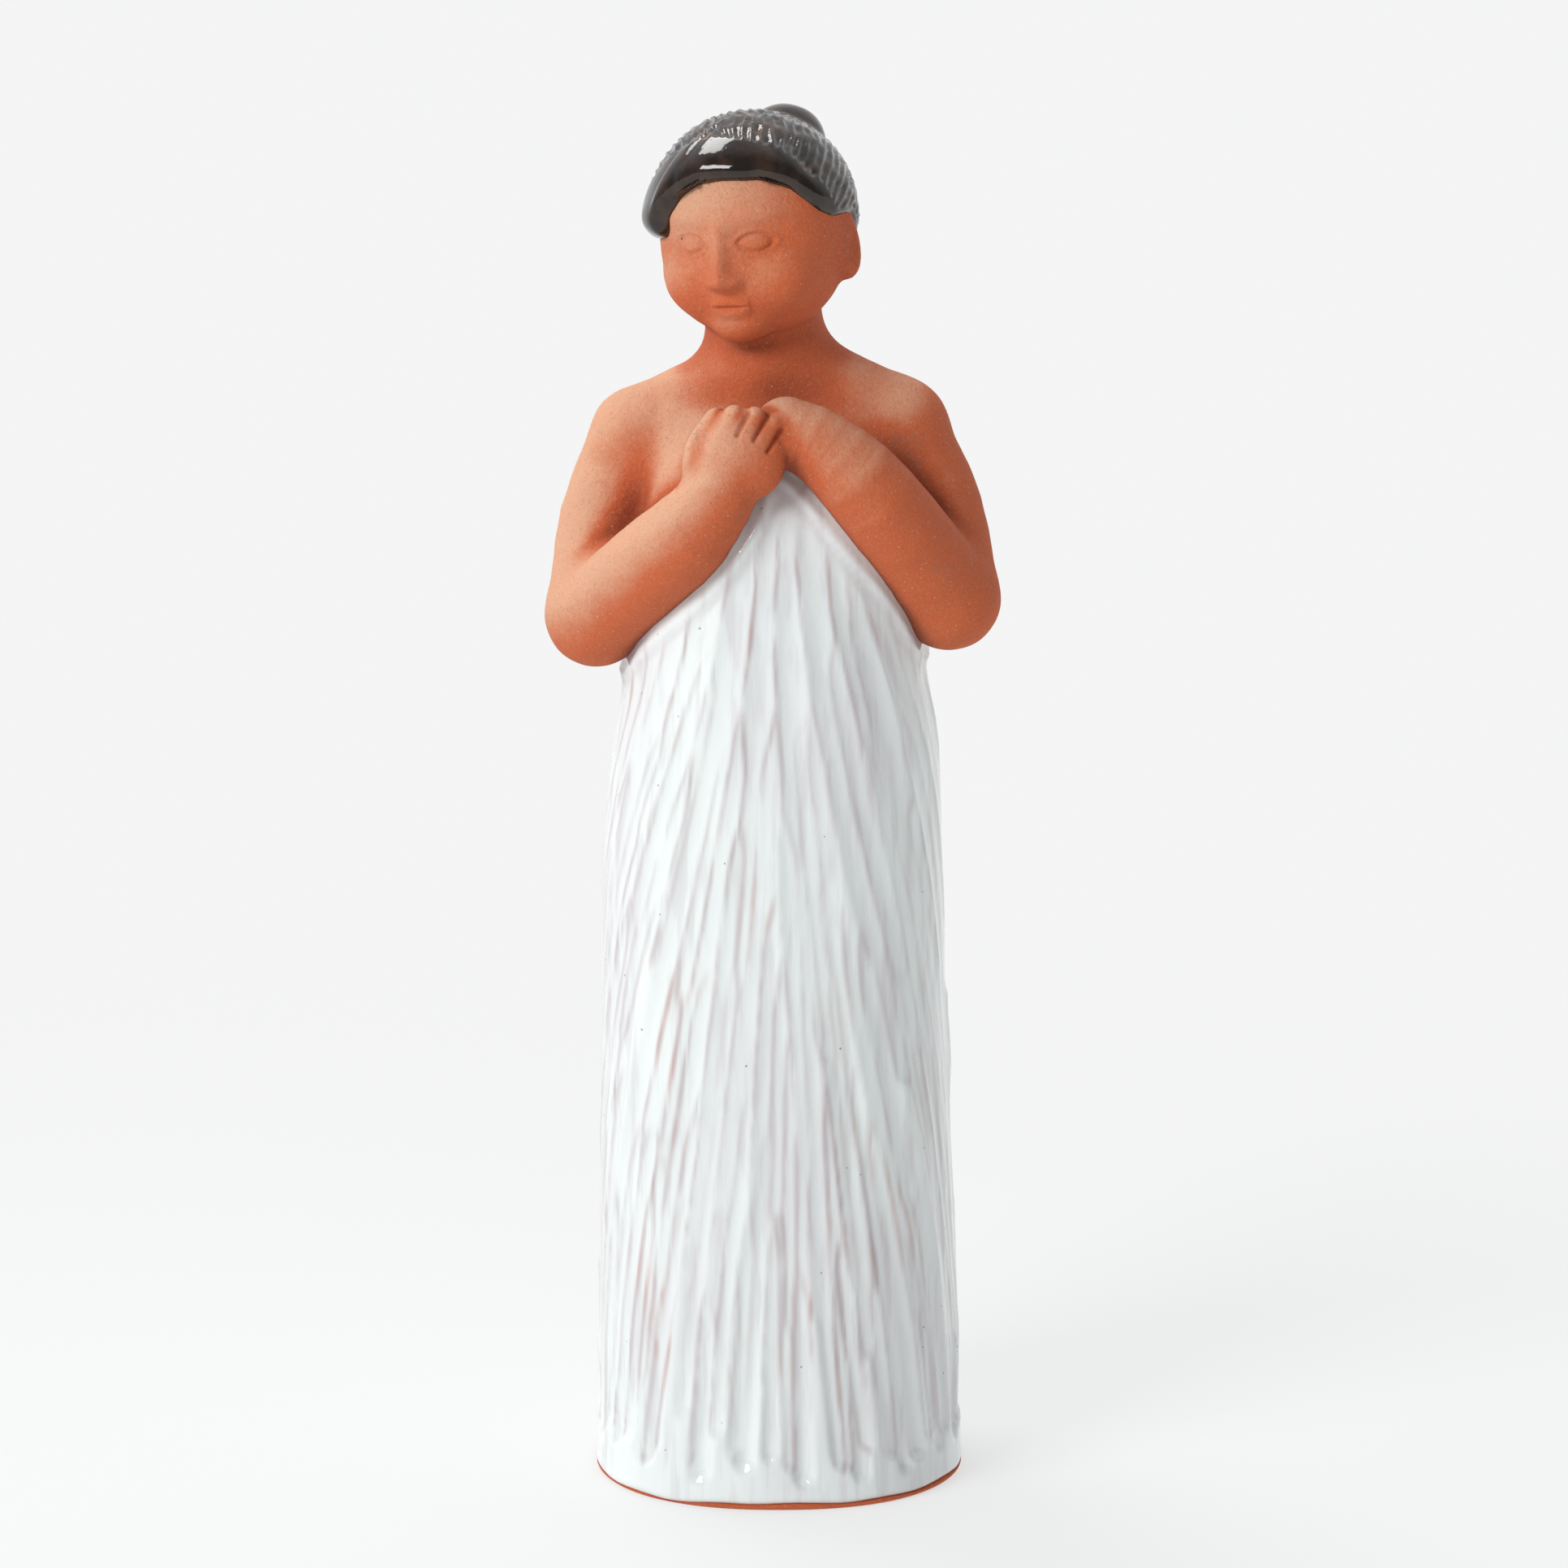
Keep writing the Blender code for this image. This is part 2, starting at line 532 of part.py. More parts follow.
def add_ball(bm, middle, half):
    """A sphere of the rough mass, stretched to its half sizes."""
    made = bmesh.ops.create_uvsphere(bm, u_segments=BALL_SIDES, v_segments=BALL_RINGS, radius=1)
    ball_verts = made["verts"]
    for vert in ball_verts:
        for axis in range(3):
            vert.co[axis] = vert.co[axis] * half[axis] + middle[axis]
    return ball_verts


def add_limb(bm, places, radii):
    """A row of spheres along a limb, close enough to read as one."""
    table = spline(np.column_stack([np.array(places, float), radii]))
    for x, y, z, radius in table:
        add_ball(bm, (x, y, z), (radius, radius, radius))


def add_trunk(bm):
    """A loft through rings of the trunk, which starts below the foot, closed at both ends."""
    turn = np.arange(TRUNK_SIDES) * 2 * math.pi / TRUNK_SIDES
    rings = []
    for level in np.arange(-2 * TRUNK_RING_GAP, TRUNK_TOP, TRUNK_RING_GAP):
        half = girth(TRUNK_HALF_WIDTHS, level)
        depth = np.where(np.cos(turn) > 0, girth(TRUNK_FRONTS, level), girth(TRUNK_BACKS, level))
        ring = zip(girth(TRUNK_SHIFTS, level) + half * np.sin(turn), -depth * np.cos(turn))
        rings.append([bm.verts.new((x, y, level)) for x, y in ring])
    for low, high in zip(rings, rings[1:]):
        for index in range(TRUNK_SIDES):
            after = (index + 1) % TRUNK_SIDES
            bm.faces.new((low[index], low[after], high[after], high[index]))
    bm.faces.new(reversed(rings[0]))
    bm.faces.new(rings[-1])


def rough_masses():
    """All the masses as overlapping closed forms in one mesh, in shares."""
    bm = bmesh.new()
    add_trunk(bm)
    for places, radii in ((LEFT_UPPER_ARM, LEFT_UPPER_RADII), (LEFT_FOREARM, LEFT_FOREARM_RADII),
                          (RIGHT_UPPER_ARM, RIGHT_UPPER_RADII),
                          (RIGHT_FOREARM, RIGHT_FOREARM_RADII), (THUMB, THUMB_RADII),
                          ((NECK_FOOT, NECK_HEAD), (NECK_RADIUS, NECK_RADIUS)),
                          ((LEFT_SLOPE_START, LEFT_UPPER_ARM[0]),
                           (SLOPE_RADIUS, LEFT_UPPER_RADII[0])),
                          ((RIGHT_SLOPE_START, RIGHT_UPPER_ARM[0]),
                           (SLOPE_RADIUS, RIGHT_UPPER_RADII[0]))):
        add_limb(bm, places, radii)
    add_ball(bm, HAND_MIDDLE, HAND_HALF)
    for knuckle, tip, radius in zip(FINGER_KNUCKLES, FINGER_TIPS, FINGER_RADII):
        add_limb(bm, (knuckle, tip), (radius, radius))
    return bm


def from_head(place):
    """A place given along the head's own axes, in the figure's axes."""
    lean = np.array(place, float)[None, :]
    axes = to_head(np.eye(3) + np.array(HEAD_MIDDLE))
    return (lean @ axes.T)[0] + np.array(HEAD_MIDDLE)


def add_head(bm):
    """The rough masses of the head and the hair, turned as the head is."""
    twins = (CHEEK, EAR)
    masses = [SKULL, JAW, CHIN, HAIR, BUN, *twins]
    masses += [((-mass[0][0], *mass[0][1:]), mass[1]) for mass in twins]
    for middle, half in masses:
        for vert in add_ball(bm, middle, half):
            vert.co = from_head(vert.co)


def keep_outer_skin(thing):
    """Take out closed pockets between the masses, so that one skin is left."""
    bm = bmesh.new()
    bm.from_mesh(thing.data)
    left = set(bm.verts)
    skins = []
    while left:
        seed = left.pop()
        skin = {seed}
        front = [seed]
        while front:
            for edge in front.pop().link_edges:
                for vert in edge.verts:
                    if vert not in skin:
                        skin.add(vert)
                        front.append(vert)
        left -= skin
        skins.append(skin)
    skins.sort(key=len)
    pockets = [vert for skin in skins[:-1] for vert in skin]
    bmesh.ops.delete(bm, geom=pockets, context="VERTS")
    bm.to_mesh(thing.data)
    bm.free()


def refine(thing):
    """Halve the faces where the face and the hand are carved, to hold their fine lines."""
    bm = bmesh.new()
    bm.from_mesh(thing.data)
    middles = np.array([face.calc_center_median() for face in bm.faces])
    on_head = (np.abs(to_head(middles) - FACE_BOX[0]) < FACE_BOX[1]).all(axis=1)
    on_hand = (np.abs(middles - HAND_BOX[0]) < HAND_BOX[1]).all(axis=1)
    edges = {edge for face, chosen in zip(bm.faces, on_head | on_hand) if chosen
             for edge in face.edges}
    bmesh.ops.subdivide_edges(bm, edges=list(edges), cuts=1, use_grid_fill=True)
    bmesh.ops.triangulate(bm, faces=[face for face in bm.faces if len(face.verts) > 4])
    bm.to_mesh(thing.data)
    bm.free()


def applied(thing):
    """Turn an object's modifiers into its mesh."""
    graph = bpy.context.evaluated_depsgraph_get()
    mesh = bpy.data.meshes.new_from_object(thing.evaluated_get(graph))
    thing.modifiers.clear()
    old = thing.data
    thing.data = mesh
    bpy.data.meshes.remove(old)


def places_of(mesh):
    """The mesh's vertices as an array."""
    flat = np.empty(len(mesh.vertices) * 3)
    mesh.vertices.foreach_get("co", flat)
    return flat.reshape(-1, 3)


def fired_clay():
    """The clay's material: a warm terracotta, dry and rough."""
    material = bpy.data.materials.new("terracotta")
    material.use_nodes = True
    shader = material.node_tree.nodes["Principled BSDF"]
    shader.inputs["Base Color"].default_value = (0.55, 0.17, 0.075, 1)
    shader.inputs["Roughness"].default_value = 0.85
    shader.inputs["Metallic"].default_value = 0
    return material


def make_figurine(collection):
    """The whole figure: masses melted together, carved, thinned out and cut flat at the foot."""
    bm = rough_masses()
    add_head(bm)
    mesh = bpy.data.meshes.new("figurine")
    bm.to_mesh(mesh)
    bm.free()
    figurine = bpy.data.objects.new("figurine", mesh)
    collection.objects.link(figurine)

    skin = figurine.modifiers.new("skin", "REMESH")
    skin.mode = "VOXEL"
    skin.voxel_size = GRAIN
    applied(figurine)
    keep_outer_skin(figurine)

    refine(figurine)
    carved = carve(settle(places_of(figurine.data), figure))
    figurine.data.vertices.foreach_set("co", carved.ravel())

    thin = figurine.modifiers.new("thin", "DECIMATE")
    figurine.data.calc_loop_triangles()
    thin.ratio = TRIANGLES / len(figurine.data.loop_triangles)
    applied(figurine)

    bm = bmesh.new()
    bm.from_mesh(figurine.data)
    whole = bm.verts[:] + bm.edges[:] + bm.faces[:]
    bmesh.ops.bisect_plane(bm, geom=whole, plane_co=(0, 0, 0), plane_no=(0, 0, 1),
                           clear_inner=True)
    rim = [edge for edge in bm.edges if edge.is_boundary]
    bmesh.ops.contextual_create(bm, geom=rim)
    bmesh.ops.triangulate(bm, faces=bm.faces[:])
    bmesh.ops.recalc_face_normals(bm, faces=bm.faces[:])
    bmesh.ops.scale(bm, vec=(SHARE, SHARE, SHARE), verts=bm.verts[:])
    bm.to_mesh(figurine.data)
    bm.free()
    figurine.data.materials.append(fired_clay())
    figurine.data.shade_smooth()
    return figurine


def main():
    for thing in list(bpy.data.objects):
        bpy.data.objects.remove(thing)
    collection = bpy.data.collections.new("earthenware_figurine")
    bpy.context.scene.collection.children.link(collection)
    make_figurine(collection)


main()
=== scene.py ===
"""Looks of the earthenware figurine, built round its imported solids.

Three pieces stand for the one fired piece: the bare clay, the white glaze of the wrap and the
dark glaze of the hair. Their forms come from the same distances as the solids, with finer relief.
"""

import math
import random

import bmesh
import bpy
import numpy as np
from mathutils import Euler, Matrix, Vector, noise


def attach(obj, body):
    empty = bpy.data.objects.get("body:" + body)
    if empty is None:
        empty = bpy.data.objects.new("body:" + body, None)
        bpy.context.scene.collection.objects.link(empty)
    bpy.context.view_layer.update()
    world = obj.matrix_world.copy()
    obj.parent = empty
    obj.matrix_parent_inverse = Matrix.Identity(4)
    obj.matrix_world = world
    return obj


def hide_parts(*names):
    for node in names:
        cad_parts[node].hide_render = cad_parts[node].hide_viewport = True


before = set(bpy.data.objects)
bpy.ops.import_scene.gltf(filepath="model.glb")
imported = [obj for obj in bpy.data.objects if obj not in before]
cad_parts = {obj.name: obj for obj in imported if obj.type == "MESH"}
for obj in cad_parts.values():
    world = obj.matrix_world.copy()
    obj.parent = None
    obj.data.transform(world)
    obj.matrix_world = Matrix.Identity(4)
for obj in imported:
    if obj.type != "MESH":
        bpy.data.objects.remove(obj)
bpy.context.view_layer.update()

# Driving dimension, in metres: from the foot to the crown of the hair
FIGURE_HEIGHT = 0.290

# All the form is a share of that height. One share is a 290th of it, which is a millimetre
# at the real size, and every size and place below is a number of shares.
SHARE = FIGURE_HEIGHT / 290

# Trunk and wrap, from the foot up, with the half width and the depths at each height, and the
# way round it about a third of the way up
TRUNK_HEIGHTS = (0, 35, 68, 100, 131, 147, 158, 168, 180, 195, 210, 222, 232)
TRUNK_HALF_WIDTHS = (39.4, 39.2, 38.3, 37.3, 36.9, 36.1, 34.8, 33.2, 31.5, 30, 29, 27, 20)
TRUNK_SHIFTS = (0, 0, -0.7, -1.2, -1.3, -1.0, -0.5, -0.4, -0.8, -1, -1.4, -2, -2)
TRUNK_FRONTS = (36.5, 36.2, 35.6, 35, 34.4, 33.9, 33.5, 33.1, 32.4, 30.9, 28, 20, 11)
TRUNK_BACKS = (36.5, 36, 35.2, 34.4, 33.4, 32.4, 31.4, 30.3, 28.5, 25.8, 22, 18, 12)
TRUNK_TOP = 230
TRUNK_SQUARENESS = 2.25
TRUNK_EASING = 9
EASING_STEPS = 8
TRUNK_ROUND = math.tau * TRUNK_HALF_WIDTHS[3]
FOOT_ROUNDING = 0.9

# Edge of the wrap: its peak between the forearms, its fall under each of them from a place on
# it, and its level across the back. The cloth stands proud of the skin, with a thicker hem.
WRAP_PEAK = 219
WRAP_LEFT = (-13.3, 213, 1.1)
WRAP_RIGHT = (9.5, 223.5, -1.34)
WRAP_BACK = 191
WRAP_SIDE = 186
WRAP_THICKNESS = 1.1
HEM_THICKNESS = 0.4
HEM_WIDTH = 1.1

# Neck and the slopes to the shoulders
NECK_FOOT = (-1.8, 3, 222)
NECK_HEAD = (-3.6, 1.5, 254)
NECK_RADIUS = 12.2
LEFT_SLOPE_START = (-3, 3, 234.2)
RIGHT_SLOPE_START = (-2, 3, 236.6)
SLOPE_RADIUS = 9.8

# Arms, named by the side where the viewer sees them: places along each limb, with its radius
LEFT_UPPER_ARM = ((-28.4, 1.5, 220.8), (-35.2, 0.5, 204), (-37.8, -7.5, 185.6))
LEFT_UPPER_RADII = (10.7, 10.6, 10.3)
LEFT_FOREARM = ((-37.8, -8.5, 185.6), (-21.8, -24.5, 202), (-13.3, -28.5, 212), (-9, -29, 221))
LEFT_FOREARM_RADII = (10.3, 9.7, 7.8, 7)
RIGHT_UPPER_ARM = ((24.2, 2, 222.9), (32.2, 0.5, 206), (35.2, -8, 189.2))
RIGHT_UPPER_RADII = (10.7, 10.4, 10.3)
RIGHT_FOREARM = ((35.2, -9, 189.2), (20, -23.8, 212), (9.5, -25, 222.5), (1.5, -24.5, 226.5))
RIGHT_FOREARM_RADII = (10.3, 9.2, 7.9, 7)
LIMB_STEPS = 3

# Hands: the back of the upper hand, its fingers by their knuckle and tip, and the thumb
HAND_MIDDLE = (-7.2, -30.5, 221.6)
HAND_HALF = (8.9, 5.5, 8.8)
FINGER_KNUCKLES = ((-12, -31.2, 223.5), (-8.9, -32, 223), (-5.8, -32.2, 221.8), (-3.2, -31.4, 219))
FINGER_TIPS = ((-8.9, -30, 230), (-5, -30.4, 229.7), (-1.5, -30.2, 228), (0.7, -29.4, 224.4))
FINGER_RADII = (2.9, 2.9, 2.8, 2.7)
FINGER_TAPER = 0.92
THUMB = ((-16.4, -28, 216), (-16, -27.6, 223), (-12.6, -27.2, 229))
THUMB_RADII = (3.4, 3.2, 2.7)
FINGER_LINE_WIDTH = 0.5
FINGER_LINE_DEPTH = 1.1
FINGER_LINE_SPAN = (0.6, 1.25)
FINGER_LINE_BACK = 3

# Arms, neck and shoulder slopes as limbs: their places and their radii
LEFT_ARM = ((LEFT_UPPER_ARM, LEFT_UPPER_RADII), (LEFT_FOREARM, LEFT_FOREARM_RADII))
RIGHT_ARM = ((RIGHT_UPPER_ARM, RIGHT_UPPER_RADII), (RIGHT_FOREARM, RIGHT_FOREARM_RADII))
NECK = ((NECK_FOOT, NECK_HEAD), (NECK_RADIUS, NECK_RADIUS))
LEFT_SLOPE = ((LEFT_SLOPE_START, LEFT_UPPER_ARM[0]), (SLOPE_RADIUS, LEFT_UPPER_RADII[0]))
RIGHT_SLOPE = ((RIGHT_SLOPE_START, RIGHT_UPPER_ARM[0]), (SLOPE_RADIUS, RIGHT_UPPER_RADII[0]))

# Head: its middle, turned towards -X and nodding, and its masses about that middle
HEAD_MIDDLE = (-5.1, -3, 264.5)
HEAD_TURN = math.radians(-22)
HEAD_NOD = math.radians(5)
HEAD_TILT = math.radians(-4.5)
HEAD_AXES = np.array(Euler((HEAD_NOD, HEAD_TILT, HEAD_TURN)).to_matrix())
SKULL = ((0, 1.5, 3.8), (20, 20.4, 19.4))
JAW = ((0, -2.2, -7.2), (17.8, 15.6, 13.9))
CHIN = ((0, -11.2, -15.6), (6.5, 5, 5))
CHEEK = ((8.6, -10, -6.8), (7.5, 7, 7.5))
EAR = ((18.9, 3, -4.6), (2.9, 3.8, 6.2))
EAR_HOLLOW = ((22.1, 1.6, -3.8), (1.6, 2, 3.8))

# Face of a calm, general kind: eyes at half the head's height, the foot of the nose halfway
# from brow to chin, and the mouth a third of the way from there to the chin
CROWN_LEVEL = 23.2
CHIN_LEVEL = -21.1
BROW_LEVEL = 6
EYE_LEVEL = (CROWN_LEVEL + CHIN_LEVEL) / 2
NOSE_LEVEL = (BROW_LEVEL + CHIN_LEVEL) / 2
MOUTH_LEVEL = NOSE_LEVEL + (CHIN_LEVEL - NOSE_LEVEL) / 3
EYE_SPREAD = 7.4
EYE_HALF_WIDTH = 3.7
EYE_HALF_HEIGHT = 1.9
EYE_RISE = 0.9
EYE_ALMOND = 0.25
SOCKET_HALF = (5.6, 3.8)
SOCKET_DEPTH = 1.3
LID_REACH = 1.25
LID_RISE = 0.5
LID_WIDTH = 0.22
LID_LINE_DEPTH = 0.45
LID_LINE_WIDTH = 0.2
BROW_RISE = 0.7
BROW_WIDTH = 1.9
BROW_SPAN = (8.2, 5.5)
BROW_LIFT = 0.6
BROW_ARCH = 0.4
NOSE_LEVELS = (NOSE_LEVEL - 1.3, NOSE_LEVEL, NOSE_LEVEL + 1.5, NOSE_LEVEL + 4, EYE_LEVEL,
               BROW_LEVEL)
NOSE_RISES = (0, 2.1, 3.3, 2.6, 1.4, 0.3)
NOSE_HALF_WIDTHS = (2.2, 2.3, 2.2, 1.8, 1.6, 2.3)
NOSE_EASING = 0.9
NOSE_ROOT = 2
NOSTRIL = (2.7, NOSE_LEVEL + 0.9)
NOSTRIL_RISE = 1.1
NOSTRIL_SIZE = 1.35
LIP_HALF_WIDTH = 4.5
UPPER_LIP = (1.0, 0.75, 1.0)
LOWER_LIP = (-1.4, 0.85, 1.2)
LIP_CORNER = 0.4
LIP_LINE_WIDTH = 0.35
LIP_LINE_DEPTH = 0.5
FACE_FRONT = -4
FACE_FADE = 5
FEATURE_REACH = 1.2

# Hair: a thick cap over the skull, smooth in front and gouged behind, and the bun
HAIR = ((-0.8, 2, 3), (22.2, 23.2, 22.3))
HAIR_ANGLES = (-180, -150, -120, -90, -60, -44, -36, -28, -14, 0, 30, 48, 64, 80, 100, 120, 150,
               180)
HAIR_LEVELS = (-11.5, -11.5, -7, -1, 0.6, 1.6, 6, 10, 12.4, 12.8, 12.4, 10, 4.4, 2, 1.2, -5, -11.5,
               -11.5)
HAIR_EASING = 6
HAIR_EDGE = 5.2
HAIR_ROLL_RISE = 1.1
HAIR_ROLL_LEVEL = 5.5
HAIR_ROLL_WIDTH = 4.5
HAIR_ROLL_FADE = 12
BUN_JOIN = 1.2
BUN = ((1.5, 17.4, 15.4), (9, 8.4, 8.4))
HAIR_NOTCH_SPACING = 2.3
HAIR_NOTCH_DEPTH = 0.55
HAIR_NOTCH_EDGE = -5.5
HAIR_NOTCH_TILT = 0.42
HAIR_NOTCH_LEAN = 0.5
HAIR_NOTCH_FADE = 1.5
BUN_CLEAR = 0.5

# Gouges down the wrap, in tiers that overlap: the level where a tier starts, and its count
GOUGE_TIERS = ((204, 46), (184, 50), (162, 54), (132, 58), (98, 64), (64, 70))
GOUGE_SCATTER = 14
GOUGE_LENGTHS = (52, 110)
GOUGE_SPREAD = (1.25, 1.7)
GOUGE_DEPTHS = (0.55, 1.05)
GOUGE_HEAD = 14
GOUGE_TOE = 3.4
GOUGE_PLACES = (0.2, 0.8)
GOUGE_FAN = 1.5
GOUGE_FAN_END = 2
GOUGE_LEAN = 0.4
GOUGE_LEAN_SCATTER = 0.045
GOUGE_LOW_LEAN = 0.35
GOUGE_STEEP_LEVEL = 40
GOUGE_FOOT_LEVEL = 4.5
GOUGE_FOOT_SCATTER = 7
GOUGE_STEPS = 12
GOUGE_SEED = 11

# How softly neighbouring masses melt together
SOFT_BODY = 6
SOFT_ARM = 2.6
SOFT_HAND = 1.2
SOFT_FINGER = 1.2
SOFT_FACE = 2.2
SOFT_EAR = 2.8

# Distances are worked out only near a mass, and are this large elsewhere. Slopes are taken over
# a short step, and a tiny length keeps the divisions safe.
MARGIN = 8
FAR = 20.0
SLOPE_STEP = 0.05
LEAST_STEEPNESS = 0.15
TINY = 1e-9

# Sides and rings of the spheres that make the rough masses
BALL_SIDES = 24
BALL_RINGS = 14

# Meshes: the first grain of the clay and of the hair, the sides and rings of their rough masses,
# and the grid of the wrap's glaze with the rows of its inner wall
GRAIN = 1.43
HAIR_GRAIN = 0.42
CORE_SIDES = 72
CORE_RING_GAP = 4.0
CORE_OVERLAP = 8
CAP_SIDES = 64
CAP_RINGS = 40
WRAP_COLUMNS = 520
WRAP_ROWS = 178
INNER_ROWS = 9
INNER_EDGE = 0.25
INNER_INSET = 0.005

# Hair's glaze: the hidden floor of its cap, how its notches wander and change in depth, how
# uneven it is, and the line where it thins at its edge. A wave is a length and a seed.
HAIR_CORE_LEVEL = 1.4
HAIR_CORE_REACH = 0.6
HAIR_SHOWN = (-0.8, 1)
HAIR_WANDER = 0.8
HAIR_WANDER_AXES = (1, 0.6, 0.3)
HAIR_WANDER_WAVE = (5, 33)
NOTCH_WAVE = (3.5, 40)
NOTCH_MIDDLE = 0.75
NOTCH_SWING = 0.5
NOTCH_LEAST = 0.25
HAIR_UNEVEN = 0.12
HAIR_WAVE = (6, 21)
HAIR_SINK = 0.22
HAIR_LINE_WIDTH = 1.2

# Glaze of the wrap: where it stops above the foot, how its edges round, and its inner wall.
# The rim's waves are a count round the trunk, a start and a share. The glaze's waves are a
# height, a length, a seed and how far they are drawn out downwards.
RIM_LEVEL = 0.75
RIM_WANDER = 0.75
RIM_WAVES = ((2, 0.6, 0.5), (5, 2, 0.3), (13, 0, 0.2))
RIM_LINE_WIDTH = 0.8
GLAZE_WAVES = ((0.14, 9, 5, 0.45), (0.05, 3, 7, 0.5))
GLAZE_WAVE_MOST = 0.2
GLAZE_LIP = 0.35
GLAZE_EDGE = 1.0
GLAZE_INNER = -2.3
GLAZE_BEAD = 0.75
GLAZE_BEAD_PLACE = 2.4
GLAZE_BEAD_WIDTH = 1.1
BEAD_LINE_GAP = 1.9
BEAD_LINE_WIDTH = 0.9
FOOT_POOL = 0.16
FOOT_POOL_PLACE = 1.6
FOOT_POOL_WIDTH = 1.3
SMOOTH_TOP = (5, 10)
SMOOTH_ARMS = (1, 6)
GLAZE_ROOM = 1.5
EDGE_STEPS = (0, 0.12, 0.27, 0.45, 0.68, 0.95, 1.3, 1.75, 2.3, 3.0)
FOOT_STEPS = (*EDGE_STEPS, *np.arange(3.7, 17, 0.7))
TOP_STEPS = (*EDGE_STEPS, *np.arange(3.6, 9.8, 0.62))
EDGE_GUESS = 200.0
EDGE_ROUNDS = 25
EDGE_STRIDE = 0.6
EDGE_ROOM = 4
RIDGE_WIDTH = 0.45
RIDGE_STRENGTH = 1.5
RIDGE_STEEPNESS = (0.1, 0.24)
RIDGE_LEAST_CUT = 0.1
RIDGE_MOST_CUT = 1.35
RIDGE_LEAST_TINT = 0.35
FOOT_DEEPENING = 0.6
FOOT_DEEP_LEVELS = (34, 10)
GLAZE_SINK = 0.24

# Clay: where its core takes over under the glaze, the levels of the core's rings, how unevenly it
# was pressed, in waves of a share, a length and a seed, how far out its openness is sampled for the
# painted shade in its hollows, the side where it was rubbed and which faces the key lamp, for its
# painted light, where the hair covers it, the parts of the face and the hand with the finest lines,
# and what brings the noise to about -1 to 1
CUT_LEVEL = 164
CORE_LEVELS = (*np.arange(CUT_LEVEL - 12, 12, -12.0), 8, 5, 4, *np.arange(3.4, -0.1, -0.2))
RIM_INSET = 0.12
RIM_TUCK = 0.1
RIM_TUCK_HEIGHT = 0.8
CLAY_UNEVEN = 0.16
CLAY_WAVES = ((0.65, 9, 3), (0.35, 4, 8))
CLAY_SINK = 0.08
HOLLOW_REACHES = (2.0, 5.0, 9.0)
RUBBED_AND_LIT_SIDE = (-0.6, -0.3, 0.74)
HAIR_COVERS = 2.5
FINE_FACE_FRONT = -8
FINE_FACE_MIDDLE = -6
FINE_FACE_HALF = (15, 14)
FINE_HAND_OFF = (1, 0, 4)
FINE_HAND_HALF = (13, 9, 9)
NOISE_REACH = 1.6

# Colours of the clay, from the painted shade of its hollows to its buff where it was rubbed, with
# painted light on the side facing the key lamp, and of its grog and smudges
CLAY_ORANGE = (0.68, 0.138, 0.041)
CLAY_BUFF_AND_PAINTED_LIGHT = (0.78, 0.415, 0.255)
CLAY_PAINTED_SHADE = (0.33, 0.058, 0.017)
LIGHT_GRAIN = (0.74, 0.44, 0.29)
DARK_GRAIN = (0.50, 0.11, 0.04)
SMUDGE = (0.27, 0.19, 0.13)
PALE_GROG = (0.80, 0.52, 0.36)
DARK_GROG = (0.22, 0.055, 0.03)
SMUDGE_LEVELS = (238, 226)

# Colours of the two glazes, where they are thick, thin, broken or pitted, and the share of a
# speck's radius that it fills before it fades
WHITE_COOL = (0.83, 0.885, 0.875)
WHITE_GREY = (0.79, 0.815, 0.825)
MAUVE = (0.42, 0.32, 0.335)
PINK = (0.55, 0.27, 0.22)
VEIL = (0.61, 0.575, 0.595)
BEAD_MAUVE = (0.58, 0.5, 0.52)
RIM_PINK = (0.50, 0.28, 0.22)
PINHOLE = (0.16, 0.10, 0.09)
BROWN_BLACK = (0.012, 0.007, 0.005)
BROWN_DARK = (0.04, 0.02, 0.012)
BROWN_BROKEN = (0.20, 0.075, 0.035)
BROWN_EDGE = (0.10, 0.035, 0.015)
SPECK_CORE = 0.6

# Studio: the floor's half size in metres, the distances in millimetres where it turns from
# paint to glow, the room from front to back, each lamp's direction, distance, size and power,
# and the camera
FLOOR_HALF = 9.0
FLOOR_FADE = (60, 520)
FLOOR_PAINT = (0.26, 0.264, 0.262)
FLOOR_GLOW_NEAR = (0.62, 0.625, 0.622)
FLOOR_GLOW_FAR = (0.905, 0.91, 0.907)
BLACK = (0.0, 0.0, 0.0)
ROOM_TURN = (-0.4, 0.6)
ROOM_FRONT = (0.21, 0.21, 0.215)
ROOM_BEHIND = (0.95, 0.96, 0.97)
KEY_LAMP = ((-0.62, -0.62, 0.56), 1.4, (0.72, 0.45), 14)
TOP_LAMP = ((-0.3, 0.33, 0.87), 1.3, (0.6, 0.4), 6)
LAMP_AIM = 0.55
LENS_LENGTH = 133.9
SENSOR_WIDTH = 36
CAMERA_PLACE = (0.00105, -1.2, 0.40)
CAMERA_PITCH = math.radians(78.139)


def held(value):
    """A value kept between 0 and 1."""
    return np.clip(value, 0, 1)


def close_to(at, low, high):
    """The indices of the points inside a box, with a margin round it."""
    inside = (at > np.array(low) - MARGIN) & (at < np.array(high) + MARGIN)
    return np.flatnonzero(inside.all(axis=1))


def ball(at, mass):
    """Distance from points to an egg-shaped mass with its own middle and half sizes."""
    middle, half = (np.array(value, float) for value in mass)
    distance = np.full(len(at), FAR)
    near = close_to(at, middle - half, middle + half)
    scaled = (at[near] - middle) / half
    reach = np.linalg.norm(scaled, axis=1) + TINY
    slope = np.linalg.norm(scaled / half, axis=1) + TINY
    distance[near] = reach * (reach - 1) / slope
    return distance


